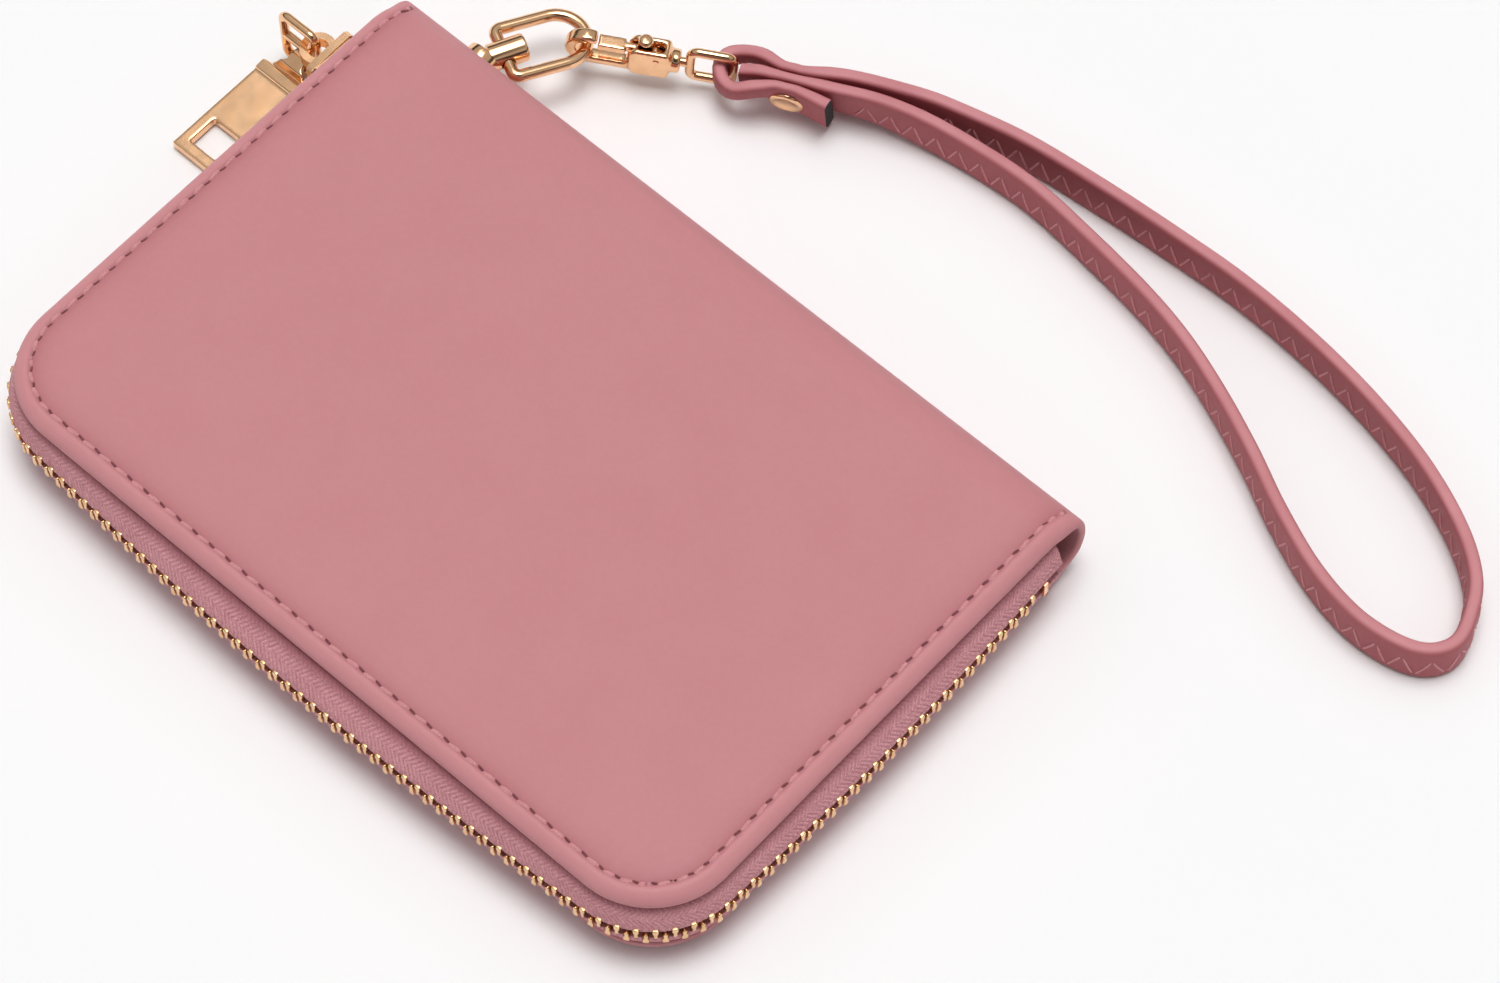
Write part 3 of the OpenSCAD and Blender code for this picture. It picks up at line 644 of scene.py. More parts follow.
class Sheet:
    """Collects points in millimetres and faces, and makes a mesh piece of them."""

    tube_taper: float = 0.45
    lathe_sides: int = 40

    def __init__(self) -> None:
        """Starts empty."""
        self.points: list[Point] = []
        self.faces: list[tuple[int, ...]] = []
        self.slots: list[int] = []
        self.marks: dict[str, dict[int, float]] = {}

    def add(self, point: Sequence[float], **marks: float) -> int:
        """Adds a point.

        Args:
            point: Its place in millimetres.
            **marks: Numbers kept on the point.

        Returns:
            Its index.
        """
        self.points.append((point[0], point[1], point[2]))
        index = len(self.points) - 1
        for name, value in marks.items():
            self.marks.setdefault(name, {})[index] = value
        return index

    def face(self, corners: Sequence[int], slot: int = 0) -> None:
        """Adds a face of a material slot."""
        self.faces.append(tuple(corners))
        self.slots.append(slot)

    def grid(self, rows: Sequence[Sequence[int]], closed: bool = False, slot: int = 0) -> None:
        """Joins rows of points with four-cornered faces.

        Args:
            rows: Rows of point indices, all of one length.
            closed: Whether each row closes on itself.
            slot: Material slot of the faces.
        """
        count = len(rows[0])
        for low, high in zip(rows, rows[1:]):
            for k in range(count if closed else count - 1):
                n = (k + 1) % count
                self.face((low[k], high[k], high[n], low[n]), slot)

    def close(
        self, rows: Sequence[Sequence[int]], slot: int = 0, end_slot: int | None = None
    ) -> None:
        """Joins rings of points into a tube and closes both of its ends.

        Args:
            rows: Rings of point indices, all of one length.
            slot: Material slot of the faces.
            end_slot: Material slot of the last end, or None for the same one.
        """
        self.grid(rows, True, slot)
        self.face(rows[0], slot)
        self.face(rows[-1][::-1], slot if end_slot is None else end_slot)

    def ring(self, middle: Vector, axis: Vector, radius: float, sides: int) -> list[int]:
        """Adds a ring of points round an axis.

        Args:
            middle: Its middle.
            axis: Direction of the axis.
            radius: Its radius.
            sides: How many points it has.

        Returns:
            The points' indices.
        """
        side = axis.orthogonal().normalized()
        other = axis.cross(side)
        turns = [math.tau * k / sides for k in range(sides)]
        ways = [side * math.cos(a) + other * math.sin(a) for a in turns]
        return [self.add(middle + way * radius) for way in ways]

    def tube(self, path: Sequence[Vector], radius: float, sides: int = 6, slot: int = 0) -> None:
        """Adds a round tube with tapered ends along a path.

        Args:
            path: The points that it follows.
            radius: Its radius.
            sides: How many sides it has.
            slot: Material slot of the faces.
        """
        rows = []
        last = len(path) - 1
        for i, p in enumerate(path):
            way = (path[min(i + 1, last)] - path[max(i - 1, 0)]).normalized()
            taper = self.tube_taper if i in (0, last) else 1.0
            rows.append(self.ring(p, way, radius * taper, sides))
        self.close(rows, slot)

    def lathe(self, foot: Vector, axis: Vector, outline: Iterable[Pair]) -> None:
        """Adds a turned shape.

        Args:
            foot: Where its axis starts.
            axis: The axis' direction.
            outline: Pairs of radius and distance along the axis, from one end to the other.
        """
        rows = [self.ring(foot + axis * up, axis, r, self.lathe_sides) for r, up in outline]
        self.close([row[::-1] for row in rows])

    def piece(
        self, name: str, materials: Sequence[bpy.types.Material], sharp_deg: float = 50.0
    ) -> bpy.types.Object:
        """Makes the mesh object.

        Args:
            name: The piece's name.
            materials: Its materials in slot order.
            sharp_deg: Edges sharper than this stay crisp.

        Returns:
            The object, at the origin of the shared frame.
        """
        mesh = bpy.data.meshes.new(name)
        mesh.from_pydata([tuple(c * MM for c in p) for p in self.points], [], self.faces)
        mesh.polygons.foreach_set("material_index", self.slots)
        mesh.polygons.foreach_set("use_smooth", [True] * len(self.faces))
        for mark, values in self.marks.items():
            layer = mesh.attributes.new(mark, "FLOAT", "POINT")
            layer.data.foreach_set("value", [values.get(i, 0.0) for i in range(len(self.points))])
        for material in materials:
            mesh.materials.append(material)
        mesh.update()
        mesh.set_sharp_from_angle(angle=math.radians(sharp_deg))
        made = bpy.data.objects.new(name, mesh)
        bpy.context.scene.collection.objects.link(made)
        return made


@dataclass(frozen=True)
class EdgePath:
    """The covers' edge in plan, from the spine round the three zipped sides, in millimetres."""

    wallet_l: float = 135.0
    cover_w: float = 83.0
    spine_x: float = 38.5
    corner_r: float = 14.0
    thick: float = 18.0
    rim_d: float = 2.6
    chain_out: float = 0.8
    side_bulge: float = 2.2
    end_bulge: float = 1.0

    @property
    def half_l(self) -> float:
        """Half of the covers' length."""
        return self.wallet_l / 2

    @property
    def edge_x(self) -> float:
        """The zipped long edge."""
        return self.spine_x - self.cover_w

    @property
    def marks(self) -> tuple[float, float, float, float, float]:
        """Path lengths at which the path changes.

        Returns:
            Starts of the first bend, the long side, the second bend and the last run, and the
            end.
        """
        run = self.cover_w - self.corner_r
        bend = self.corner_r * math.pi / 2
        side = self.wallet_l - 2 * self.corner_r
        last_run = run + 2 * bend + side
        return (run, run + bend, run + bend + side, last_run, 2 * run + 2 * bend + side)

    @property
    def length(self) -> float:
        """The whole path's length."""
        return self.marks[4]

    def at(self, s: float) -> tuple[float, float, float]:
        """Gives a place on the edge.

        Args:
            s: Distance along the path.

        Returns:
            x, y and the outward angle in radians.
        """
        bend_1, side_1, bend_2, run_2, _ = self.marks
        turn = 1 / self.corner_r
        cx = self.edge_x + self.corner_r
        cy = self.half_l - self.corner_r
        if s < bend_1:
            return self.spine_x - s, self.half_l, math.pi / 2
        if s < side_1:
            a = math.pi / 2 + (s - bend_1) * turn
            return cx + self.corner_r * math.cos(a), cy + self.corner_r * math.sin(a), a
        if s < bend_2:
            return self.edge_x, cy - (s - side_1), math.pi
        if s < run_2:
            a = math.pi + (s - bend_2) * turn
            return cx + self.corner_r * math.cos(a), -cy + self.corner_r * math.sin(a), a
        return cx + (s - run_2), -self.half_l, 1.5 * math.pi

    def inset(self, s: float, d: float, z: float) -> Point:
        """Gives a point that stands in from the edge.

        Args:
            s: Distance along the path.
            d: Distance in from the edge.
            z: Height.

        Returns:
            The point.
        """
        x, y, a = self.at(s)
        return (x - d * math.cos(a), y - d * math.sin(a), z)

    def chain(self, s: float) -> float:
        """Gives how far the zip's chain stands outside the edge.

        Args:
            s: Distance along the path.

        Returns:
            The distance out, more in the middle of the long side and of the last run.
        """
        _, side_1, bend_2, run_2, end = self.marks
        if side_1 < s < bend_2:
            turn = math.pi * (s - side_1) / (bend_2 - side_1)
            return self.chain_out + self.side_bulge * math.sin(turn)
        if s > run_2:
            turn = math.pi * (s - run_2) / (end - run_2)
            return self.chain_out + self.end_bulge * math.sin(turn)
        return self.chain_out

    def stations(self, start: float, end: float, step: float, bend_step: float) -> list[float]:
        """Gives path lengths that are spaced differently round the bends.

        Args:
            start: First path length.
            end: Last path length.
            step: Spacing on the straights.
            bend_step: Spacing round the bends.

        Returns:
            The path lengths in order.
        """
        bend_1, side_1, bend_2, run_2, _ = self.marks
        inner = [m for m in (bend_1, side_1, bend_2, run_2) if start < m < end]
        cuts = sorted({start, end, *inner})
        places = [start]
        for low, high in zip(cuts, cuts[1:]):
            middle = (low + high) / 2
            bent = bend_1 < middle < side_1 or bend_2 < middle < run_2
            count = max(1, round((high - low) / (bend_step if bent else step)))
            places += [low + (high - low) * k / count for k in range(1, count + 1)]
        return places


@dataclass
class CoverLeather:
    """The outer leather: two flat covers with a rolled, sewn edge, and the spine between them.

    The section's rows start with the distance in from the edge and the depth below the outer
    face. After those, rim has the puckering and the wear with painted highlight, bank the
    puckering, and pad a share of the padding in place of the depth, and the puckering. The
    puckering also sets how much painted shade lies in the seam's groove.
    """

    path: EdgePath
    finishes: Finishes
    leather_t: float = 1.4
    rim_w: float = 3.4
    tuck_in: float = 1.85
    plain_in: float = 2.2
    # Depths at which the rolled rim's wear and painted highlight start and are full.
    rub_d: Pair = (2.4, 0.9)
    lip: tuple[Pair, ...] = (
        (1.3, 3.0), (0.8, 3.15), (0.35, 3.08), (0.1, 2.85), (0.04, 2.5), (0.1, 2.1), (0.25, 1.7),
        (0.47, 1.3), (0.75, 0.95), (1.1, 0.66), (1.5, 0.45),
    )
    rim: tuple[tuple[float, float, float, float], ...] = (
        (1.8, 0.36, 0.15, 0.9), (2.1, 0.34, 0.4, 0.6), (2.4, 0.42, 0.8, 0.2),
    )
    seam_in: float = 2.62
    seam_d: float = 0.52
    bank: tuple[tuple[float, float, float], ...] = (
        (2.95, 0.42, 0.9), (3.4, 0.26, 0.6), (4.3, 0.08, 0.3),
    )
    pad: tuple[tuple[float, float, float], ...] = (
        (5.8, 0.35, 0.1), (8.2, 0.8, 0.0), (12.5, 1.0, 0.0),
    )
    puff: float = 0.3
    roll_deg: Pair = (24.0, 62.0)
    flat_end: float = 2.5
    sweep_in: float = 1.0
    front_steps: int = 6
    back_steps: int = 30
    fold_steps: int = 22
    fold_deg: float = 50.0
    fold_reach: float = 2.4
    fold_span_deg: float = 22.0
    stitch_step: float = 3.3
    stitch_reach: float = 0.34
    stitch_r: float = 0.4
    stitch_sides: int = 8
    stitch_sunk: float = 0.34
    stitch_arch: float = 0.32
    stitch_slant: float = 0.1
    hole_reach: float = 0.82
    hole_in: float = 0.22
    hole_slant: float = 0.14
    hole_sunk: float = 0.1
    hole_r: float = 0.23
    hole_sides: int = 7
    seam_reach: float = 8.3
    pucker: float = 0.09
    stations_per_stitch: int = 6

    def profile(self, roll: float, puff: float) -> list[tuple[float, float, float, float]]:
        """Gives the leather's section from the under side, round the edge and over the panel.

        Args:
            roll: 1 for the rolled and sewn edge, 0 for the plain edge of the spine.
            puff: How far the padded panel stands above the outer face.

        Returns:
            Rows of the distance in from the edge, the depth below the outer face, how much the
            stitches pucker it, which also sets the painted shade in the seam's groove, and how
            much it is worn and given a painted highlight.
        """
        t = self.leather_t / 2
        last = len(self.lip) - 1
        under = self.path.rim_d
        rolled = [(self.rim_w, under, 0.0, 0.0), (self.tuck_in, under, 0.0, 0.0)]
        rolled += [(d, h, 0.0, smooth_step(*self.rub_d, h)) for d, h in self.lip]
        rolled += self.rim
        rolled += [(self.seam_in, self.seam_d, 1.0, 0.0)]
        rolled += [(d, h, pucker, 0.0) for d, h, pucker in self.bank]
        rolled += [(d, -share * puff, pucker, 0.0) for d, share, pucker in self.pad]
        arc = [math.radians(-90 + 180 * k / last) for k in range(last + 1)]
        plain = [(self.rim_w, self.leather_t), (self.plain_in, self.leather_t)]
        plain += [(t - t * math.cos(a), t - t * math.sin(a)) for a in arc]
        plain += [(row[0], 0.0) for row in rolled[len(plain) :]]
        return [
            (
                roll * a[0] + (1 - roll) * b[0],
                roll * a[1] + (1 - roll) * b[1],
                roll * a[2],
                roll * a[3],
            )
            for a, b in zip(rolled, plain)
        ]

    def roll_at(self, deg: float) -> float:
        """Gives how much of the rolled edge is left at an angle up or down the spine's bend."""
        return smooth_step(*self.roll_deg, abs(deg))

    def dip(self, s: float) -> float:
        """Gives how far the leather dips by a needle hole at a path length, or swells between."""
        return -self.pucker * math.cos(math.tau * (s - self.path.length / 2) / self.stitch_step)

    def leather_point(self, s: float, d: float, h: float, top: bool) -> Point:
        """Gives a point on a cover or, past its ends, on the spine's bend.

        Args:
            s: Path length, below 0 or above the path's length on the bend.
            d: Distance in from the edge.
            h: Depth below the outer face.
            top: Whether it is on the front.

        Returns:
            The point.
        """
        end = self.path.length
        r = self.path.thick / 2
        if 0 <= s <= end:
            x, y, z = self.path.inset(s, d, self.path.thick - h)
        else:
            a = math.pi / 2 - max(-s, s - end) / r
            x = self.path.spine_x + (r - h) * math.cos(a)
            y = (self.path.half_l - d) * (1 if s < 0 else -1)
            z = r + (r - h) * math.sin(a)
        return (x, y, z if top else self.path.thick - z)

    def section(
        self, sheet: Sheet, puff: float, deg: float | None = None, top: bool = True
    ) -> list[int]:
        """Adds one closed section across the leather.

        Args:
            sheet: Where the points go.
            puff: The panel's padding.
            deg: Angle round the spine's bend, or None on the flat beside it.
            top: Whether the flat is the front's.

        Returns:
            The section's point indices, from the panel at +Y round to the panel at -Y.
        """
        roll = 1.0 if deg is None else self.roll_at(deg)
        r = self.path.thick / 2
        row = []
        profile = self.profile(roll, puff * roll)
        for side, line in ((1, profile[::-1]), (-1, profile)):
            for d, h, pucker, rub in line:
                y = side * (self.path.half_l - d)
                if deg is None:
                    x = self.path.spine_x - self.sweep_in
                    z = self.path.thick - h if top else h
                else:
                    a = math.radians(deg)
                    x = self.path.spine_x + (r - h) * math.cos(a)
                    z = r + (r - h) * math.sin(a)
                # The puckering also sets the painted seam shade; the last value is wear with
                # painted highlight.
                row.append(sheet.add((x, y, z), rub=rub, groove=pucker))
        return row

    def sweep(
        self, sheet: Sheet, start: float, end: float, steps: int, puff: float
    ) -> list[list[int]]:
        """Adds closed sections round a part of the spine's bend.

        Args:
            sheet: Where the points go.
            start: First angle in degrees, 90 at the front's flat.
            end: Last angle in degrees, -90 at the back's flat.
            steps: How many steps there are from one to the other.
            puff: The panel's padding.

        Returns:
            The sections' point indices.
        """
        turns = [start + (end - start) * k / steps for k in range(steps + 1)]
        return [self.section(sheet, puff, deg) for deg in turns]

    def flat(self, sheet: Sheet, top: bool, puff: float) -> list[int]:
        """Adds a flat cover with its rolled edge.

        Args:
            sheet: Where the points go.
            top: Whether it is the front's.
            puff: The panel's padding.

        Returns:
            The open section where the flat meets the spine's sweep.
        """
        end = self.path.length - self.flat_end
        fine = self.stitch_step / self.stations_per_stitch
        profile = self.profile(1.0, puff)
        rows = []
        for s in self.path.stations(self.flat_end, end, fine, fine):
            row = []
            for d, h, pucker, rub in profile:
                depth = h + pucker * self.dip(s)
                point = self.leather_point(s, d, depth, top)
                # The puckering also sets the painted seam shade; the last value is wear with
                # painted highlight.
                row.append(sheet.add(point, rub=rub, groove=pucker))
            rows.append(row)
        sheet.grid(rows if top else rows[::-1])
        middle = [row[-1] for row in rows]
        sheet.face(middle if top else middle[::-1])
        return rows[0][::-1] + rows[-1]

    def front(self) -> bpy.types.Object:
        """Builds the front cover's leather.

        Returns:
            The piece.
        """
        sheet = Sheet()
        high = self.fold_deg + self.fold_span_deg
        rows = [self.flat(sheet, True, self.puff), self.section(sheet, self.puff)]
        rows += self.sweep(sheet, 90.0, high, self.front_steps, self.puff)
        sheet.grid(rows, True)
        made = sheet.piece("front_leather", [self.finishes.leather])
        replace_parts(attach(made, Half.FRONT.value), "front_cover")
        return made

    def back(self) -> bpy.types.Object:
        """Builds the back cover's leather with the lower part of the spine.

        Returns:
            The piece.
        """
        sheet = Sheet()
        low = self.fold_deg - self.fold_span_deg
        rows = self.sweep(sheet, low, -90.0, self.back_steps, 0.0)
        rows += [self.section(sheet, 0.0, top=False), self.flat(sheet, False, 0.0)]
        sheet.grid(rows, True)
        made = sheet.piece("back_leather", [self.finishes.leather])
        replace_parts(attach(made, Half.BACK.value), "back_cover")
        return made

    def fold(self) -> bpy.types.Object:
        """Builds the part of the spine that bends when the front opens, with its last stitches.

        Returns:
            The piece.
        """
        sheet = Sheet()
        high = self.fold_deg + self.fold_span_deg
        low = self.fold_deg - self.fold_span_deg
        sheet.grid(self.sweep(sheet, high, low, self.fold_steps, self.puff), True)
        for s in self.stitch_places():
            if self.on_fold(s):
                self.stitch(sheet, s, True, 1)
        made = sheet.piece(
            "spine_leather", [self.finishes.leather, self.finishes.thread, self.finishes.hole_shade]
        )
        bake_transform(made)
        return made

    def stitch_places(self) -> list[float]:
        """Gives the places of the stitches, into the spine's bend at both ends.

        Returns:
            Path lengths, below 0 and above the path's length on the bend.
        """
        end = self.path.length
        count = int((end / 2 + self.seam_reach) / self.stitch_step)
        return [end / 2 + self.stitch_step * k for k in range(-count, count + 1)]

    def on_fold(self, s: float) -> bool:
        """Says whether a front stitch lies on the part of the spine that bends."""
        past = max(-s, s - self.path.length)
        return past > math.radians(90 - self.fold_deg - self.fold_span_deg) * self.path.thick / 2

    def stitch(self, sheet: Sheet, s: float, top: bool, slot: int) -> None:
        """Adds a raised stitch and after it a dark tube, the painted shade of its needle hole.

        Args:
            sheet: Where they go.
            s: The stitch's path length.
            top: Whether it is on the front.
            slot: Material slot of the thread; the painted shade of the hole has the next one.
        """
        past = max(-s, s - self.path.length, 0.0)
        lift = self.seam_d * (1 - self.roll_at(90 - math.degrees(2 * past / self.path.thick)))
        depth = self.seam_d - lift
        reach = self.stitch_step * self.stitch_reach
        line = []
        for t in (-1.0, -0.8, -0.4, 0.0, 0.4, 0.8, 1.0):
            d = self.seam_in + self.stitch_slant * t
            h = depth + self.stitch_sunk - self.stitch_arch * (1 - t * t)
            line.append(Vector(self.leather_point(s + reach * t, d, h, top)))
        sheet.tube(line, self.stitch_r, self.stitch_sides, slot)
        # A dark tube that paints the shade of the needle hole.
        hole_shade = []
        for t in (-1.0, -0.5, 0.5, 1.0):
            place = s + self.stitch_step / 2 + self.hole_reach * t
            d = self.seam_in + self.hole_in - self.hole_slant * t
            hole_shade.append(Vector(self.leather_point(place, d, depth + self.hole_sunk, top)))
        sheet.tube(hole_shade, self.hole_r, self.hole_sides, slot + 1)

    def seam(self, name: str, half: Half) -> bpy.types.Object:
        """Builds the stitches and the painted shade of their needle holes round a cover.

        Args:
            name: The piece's name.
            half: The half that it is on.

        Returns:
            The piece.
        """
        top = half is Half.FRONT
        sheet = Sheet()
        for s in self.stitch_places():
            if not (top and self.on_fold(s)):
                self.stitch(sheet, s, top, 0)
        made = sheet.piece(name, [self.finishes.thread, self.finishes.hole_shade], ALL_SMOOTH_DEG)
        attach(made, half.value)
        return made

    def build(self) -> list[bpy.types.Object]:
        """Builds all of the leather.

        Returns:
            The pieces.
        """
        pieces = [self.front(), self.back(), self.fold()]
        pieces += [self.seam("front_seam", Half.FRONT), self.seam("back_seam", Half.BACK)]
        return pieces


@dataclass
class ZipTape:
    """The two woven tapes, which stand between the covers' edges and the teeth."""

    path: EdgePath
    finishes: Finishes
    tape_t: float = 0.6
    tape_in: float = 1.3
    free_z: float = 7.0
    meet_z: float = 8.0
    meet_from: float = 2.0
    meet_full: float = 6.0
    slider_free_z: float = 5.2
    slider_end: float = 11.1
    slider_soft: float = 0.6
    end_past: float = 1.9
    belly: float = 0.32
    cord: float = 0.22
    cord_rise: Pair = (0.72, 0.86)
    cord_fall: float = 0.94
    cord_thin: float = 0.5
    steps: int = 14
    station: float = 1.5
    bend_station: float = 0.9

    def free_edge(self, s: float, upper: bool) -> float:
        """Gives the height of the tape's toothed edge.

        Args:
            s: Distance along the path.
            upper: Whether it is the upper tape, which stands off the slider.

        Returns:
            The height from the half's own face; past the slider's run the two tapes come closer.
        """
        low = self.slider_free_z if upper else self.free_z
        soft = self.slider_soft
        past = smooth_step(self.slider_end - soft, self.slider_end + soft, s)
        run = self.path.marks[0]
        near = smooth_step(run + self.meet_from, run + self.meet_full, s)
        return low + (self.free_z - low) * past + (self.meet_z - self.free_z) * near

    def tape(self, name: str, half: Half, node: str) -> bpy.types.Object:
        """Builds one tape.

        Args:
            name: The piece's name.
            half: The half that it is sewn to.
            node: The solid that it stands for.

        Returns:
            The piece.
        """
        upper = half is Half.FRONT
        foot = self.path.rim_d
        span = self.free_z - foot
        end = self.path.length + self.end_past
        sheet = Sheet()
        rows = []
        for s in self.path.stations(0.0, end, self.station, self.bend_station):
            top = self.free_edge(s, upper)
            rise = (self.path.chain(s) + self.tape_in) / span
            faces: list[list[int]] = [[], []]
            for k in range(self.steps + 1):
                t = k / self.steps
                h = foot + (top - foot) * t
                up = min(h, self.free_z) - foot
                out = -self.tape_in + rise * up + self.belly * math.sin(math.pi * up / span)
                swell = self.cord * smooth_step(*self.cord_rise, t)
                thin = 1 - self.cord_thin * smooth_step(self.cord_fall, 1, t)
                half_t = self.tape_t / 2 + swell * thin
                z = self.path.thick - h if upper else h
                for side, line in ((1, faces[0]), (-1, faces[1])):
                    point = self.path.inset(s, -(out + side * half_t), z)
                    # deep also sets the painted shade under the rim.
                    line.append(sheet.add(point, along=s, edge=top - h, deep=h - foot))
            rows.append(faces[0] + faces[1][::-1])
        sheet.close(rows if upper else rows[::-1])
        made = sheet.piece(name, [self.finishes.tape])
        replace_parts(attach(made, half.value), node)
        return made

    def build(self) -> list[bpy.types.Object]:
        """Builds both tapes.

        Returns:
            The pieces.
        """
        return [
            self.tape("upper_tape", Half.FRONT, "upper_zip_tape"),
            self.tape("lower_tape", Half.BACK, "lower_zip_tape"),
        ]


@dataclass
class Panels:
    """The linings and the inner pockets, each a thin panel with soft edges.

    The rows of edge are the distance in from the panel's edge and the depth below its face, as
    a share of its thickness.
    """

    path: EdgePath
    finishes: Finishes
    corner: float = 3.0
    foot_corner: float = 0.6
    least_corner: float = 0.15
    corner_steps: int = 6
    lining_corner: float = 0.5
    lining_in: float = 1.9
    edge: tuple[Pair, ...] = ((0.3, 1.0), (0.05, 0.85), (0.0, 0.5), (0.06, 0.16), (0.32, 0.0))
    crease_in: float = 1.7
    crease_half: float = 0.4
    crease_d: float = 0.16
    middle_in: float = 4.0
    stitch_step: float = 3.0
    stitch_reach: float = 0.4
    stitch_sunk: float = 0.1
    stitch_arch: float = 0.14
    stitch_r: float = 0.16
    stitch_sides: int = 5
    spine_end: float = 3.6
    spine_from_deg: float = -90.0
    spine_span_deg: float = 138.0
    spine_steps: int = 28
    spine_depths: Pair = (1.42, 1.98)

    def rounded(self, low: Vector, high: Vector, radii: Sequence[float], d: float) -> list[Pair]:
        """Gives a rectangle with rounded corners, standing in by a distance.

        Args:
            low: Lowest corner of the panel.
            high: Highest corner of the panel.
            radii: Corner radii, from +X +Y against the clock.
            d: How far to stand in.

        Returns:
            Points in plan, against the clock.
        """
        corners = (
            (high.x, high.y, -1, -1, 0),
            (low.x, high.y, 1, -1, 90),
            (low.x, low.y, 1, 1, 180),
            (high.x, low.y, -1, 1, 270),
        )
        ring = []
        for (x, y, sx, sy, start), radius in zip(corners, radii):
            r = max(radius - d, self.least_corner)
            cx = x + sx * (d + r)
            cy = y + sy * (d + r)
            for k in range(self.corner_steps + 1):
                a = math.radians(start + 90 * k / self.corner_steps)
                ring.append((cx + r * math.cos(a), cy + r * math.sin(a)))
        return ring

    def radii(self, sewn: bool) -> tuple[float, float, float, float]:
        """Gives a pocket's or a lining's corner radii.

        Args:
            sewn: Whether it is a pocket.

        Returns:
            The radii, from +X +Y against the clock.
        """
        if sewn:
            return (self.corner, self.foot_corner, self.foot_corner, self.corner)
        outer = self.path.corner_r - self.lining_in
        return (self.lining_corner, outer, outer, self.lining_corner)

    def panel(
        self, name: str, node: str, half: Half, sewn: bool, under: str | None = None
    ) -> bpy.types.Object:
        """Builds a panel in the space of its solid.

        Args:
            name: The piece's name.
            node: The solid that it stands for.
            half: The half that it is on.
            sewn: Whether it is a pocket, with a crease and a stitched mouth.
            under: What a panel of cloth is stretched over, or None for leather; only whether it is
                given is read, to choose cloth or leather.

        Returns:
            The piece.
        """
        low, high = (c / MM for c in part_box(node))
        t = high.z - low.z
        up = half is Half.BACK
        crease = self.crease_in
        sheet = Sheet()
        lines = [(d, share * t) for d, share in self.edge]
        if sewn:
            lines += [(crease - self.crease_half, 0.0), (crease, self.crease_d)]
            lines += [(crease + self.crease_half, 0.0)]
        lines += [(self.middle_in, 0.0)]
        rows = []
        for d, h in lines:
            z = high.z - h if up else low.z + h
            ring = self.rounded(low, high, self.radii(sewn), d)
            rows.append([sheet.add((x, y, z)) for x, y in ring][::-1])
        sheet.close(rows if up else rows[::-1])
        if sewn:
            self.mouth(sheet, low, high, up)
        material = self.finishes.lining if under else self.finishes.pocket
        made = sheet.piece(name, [material, self.finishes.thread])
        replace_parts(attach(made, half.value), node)
        return made

    def mouth(self, sheet: Sheet, low: Vector, high: Vector, up: bool) -> None:
        """Adds a row of stitches along a pocket's mouth.

        Args:
            sheet: The panel's points.
            low: Lowest corner of the panel.
            high: Highest corner of the panel.
            up: Whether the panel faces up.
        """
        x = high.x - self.crease_in
        count = int((high.y - low.y - 2 * self.corner) / self.stitch_step)
        start = (low.y + high.y - count * self.stitch_step) / 2
        for k in range(count):
            y = start + self.stitch_step * (k + 0.5)
            line = []
            for t in (-1.0, -0.5, 0.5, 1.0):
                h = self.stitch_sunk - self.stitch_arch * (1 - t * t)
                z = high.z - h if up else low.z + h
                line.append(Vector((x, y + self.stitch_reach * self.stitch_step * t, z)))
            sheet.tube(line, self.stitch_r, self.stitch_sides, 1)

    def spine(self) -> bpy.types.Object:
        """Builds the lining inside the spine.

        Returns:
            The piece.
        """
        sheet = Sheet()
        r = self.path.thick / 2
        y = self.path.half_l - self.spine_end
        outer, inner = self.spine_depths
        rows = []
        for k in range(self.spine_steps + 1):
            a = math.radians(self.spine_from_deg + self.spine_span_deg * k / self.spine_steps)
            row = []
            for depth, side in ((outer, 1), (inner, 1), (inner, -1), (outer, -1)):
                x = self.path.spine_x + (r - depth) * math.cos(a)
                row.append(sheet.add((x, side * y, r + (r - depth) * math.sin(a))))
            rows.append(row)
        sheet.close(rows)
        made = sheet.piece("spine_cloth", [self.finishes.lining])
        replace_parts(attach(made, Half.BACK.value), "spine_lining")
        return made

    def build(self) -> list[bpy.types.Object]:
        """Builds every lining and pocket.

        Returns:
            The pieces.
        """
        made = [self.spine()]
        for half, word in ((Half.BACK, "back"), (Half.FRONT, "front")):
            board = f"{word}_board"
            made.append(self.panel(f"{word}_cloth", f"{word}_lining", half, False, board))
        made.append(self.panel("banknote_pocket", "bill_pocket", Half.BACK, True, "back_cloth"))
        for half, word, count in ((Half.BACK, "back", 3), (Half.FRONT, "front", 4)):
            for k in range(1, count + 1):
                node = f"{word}_card_pocket_{k}"
                made.append(self.panel(f"{word}_card_panel_{k}", node, half, True))
        return made


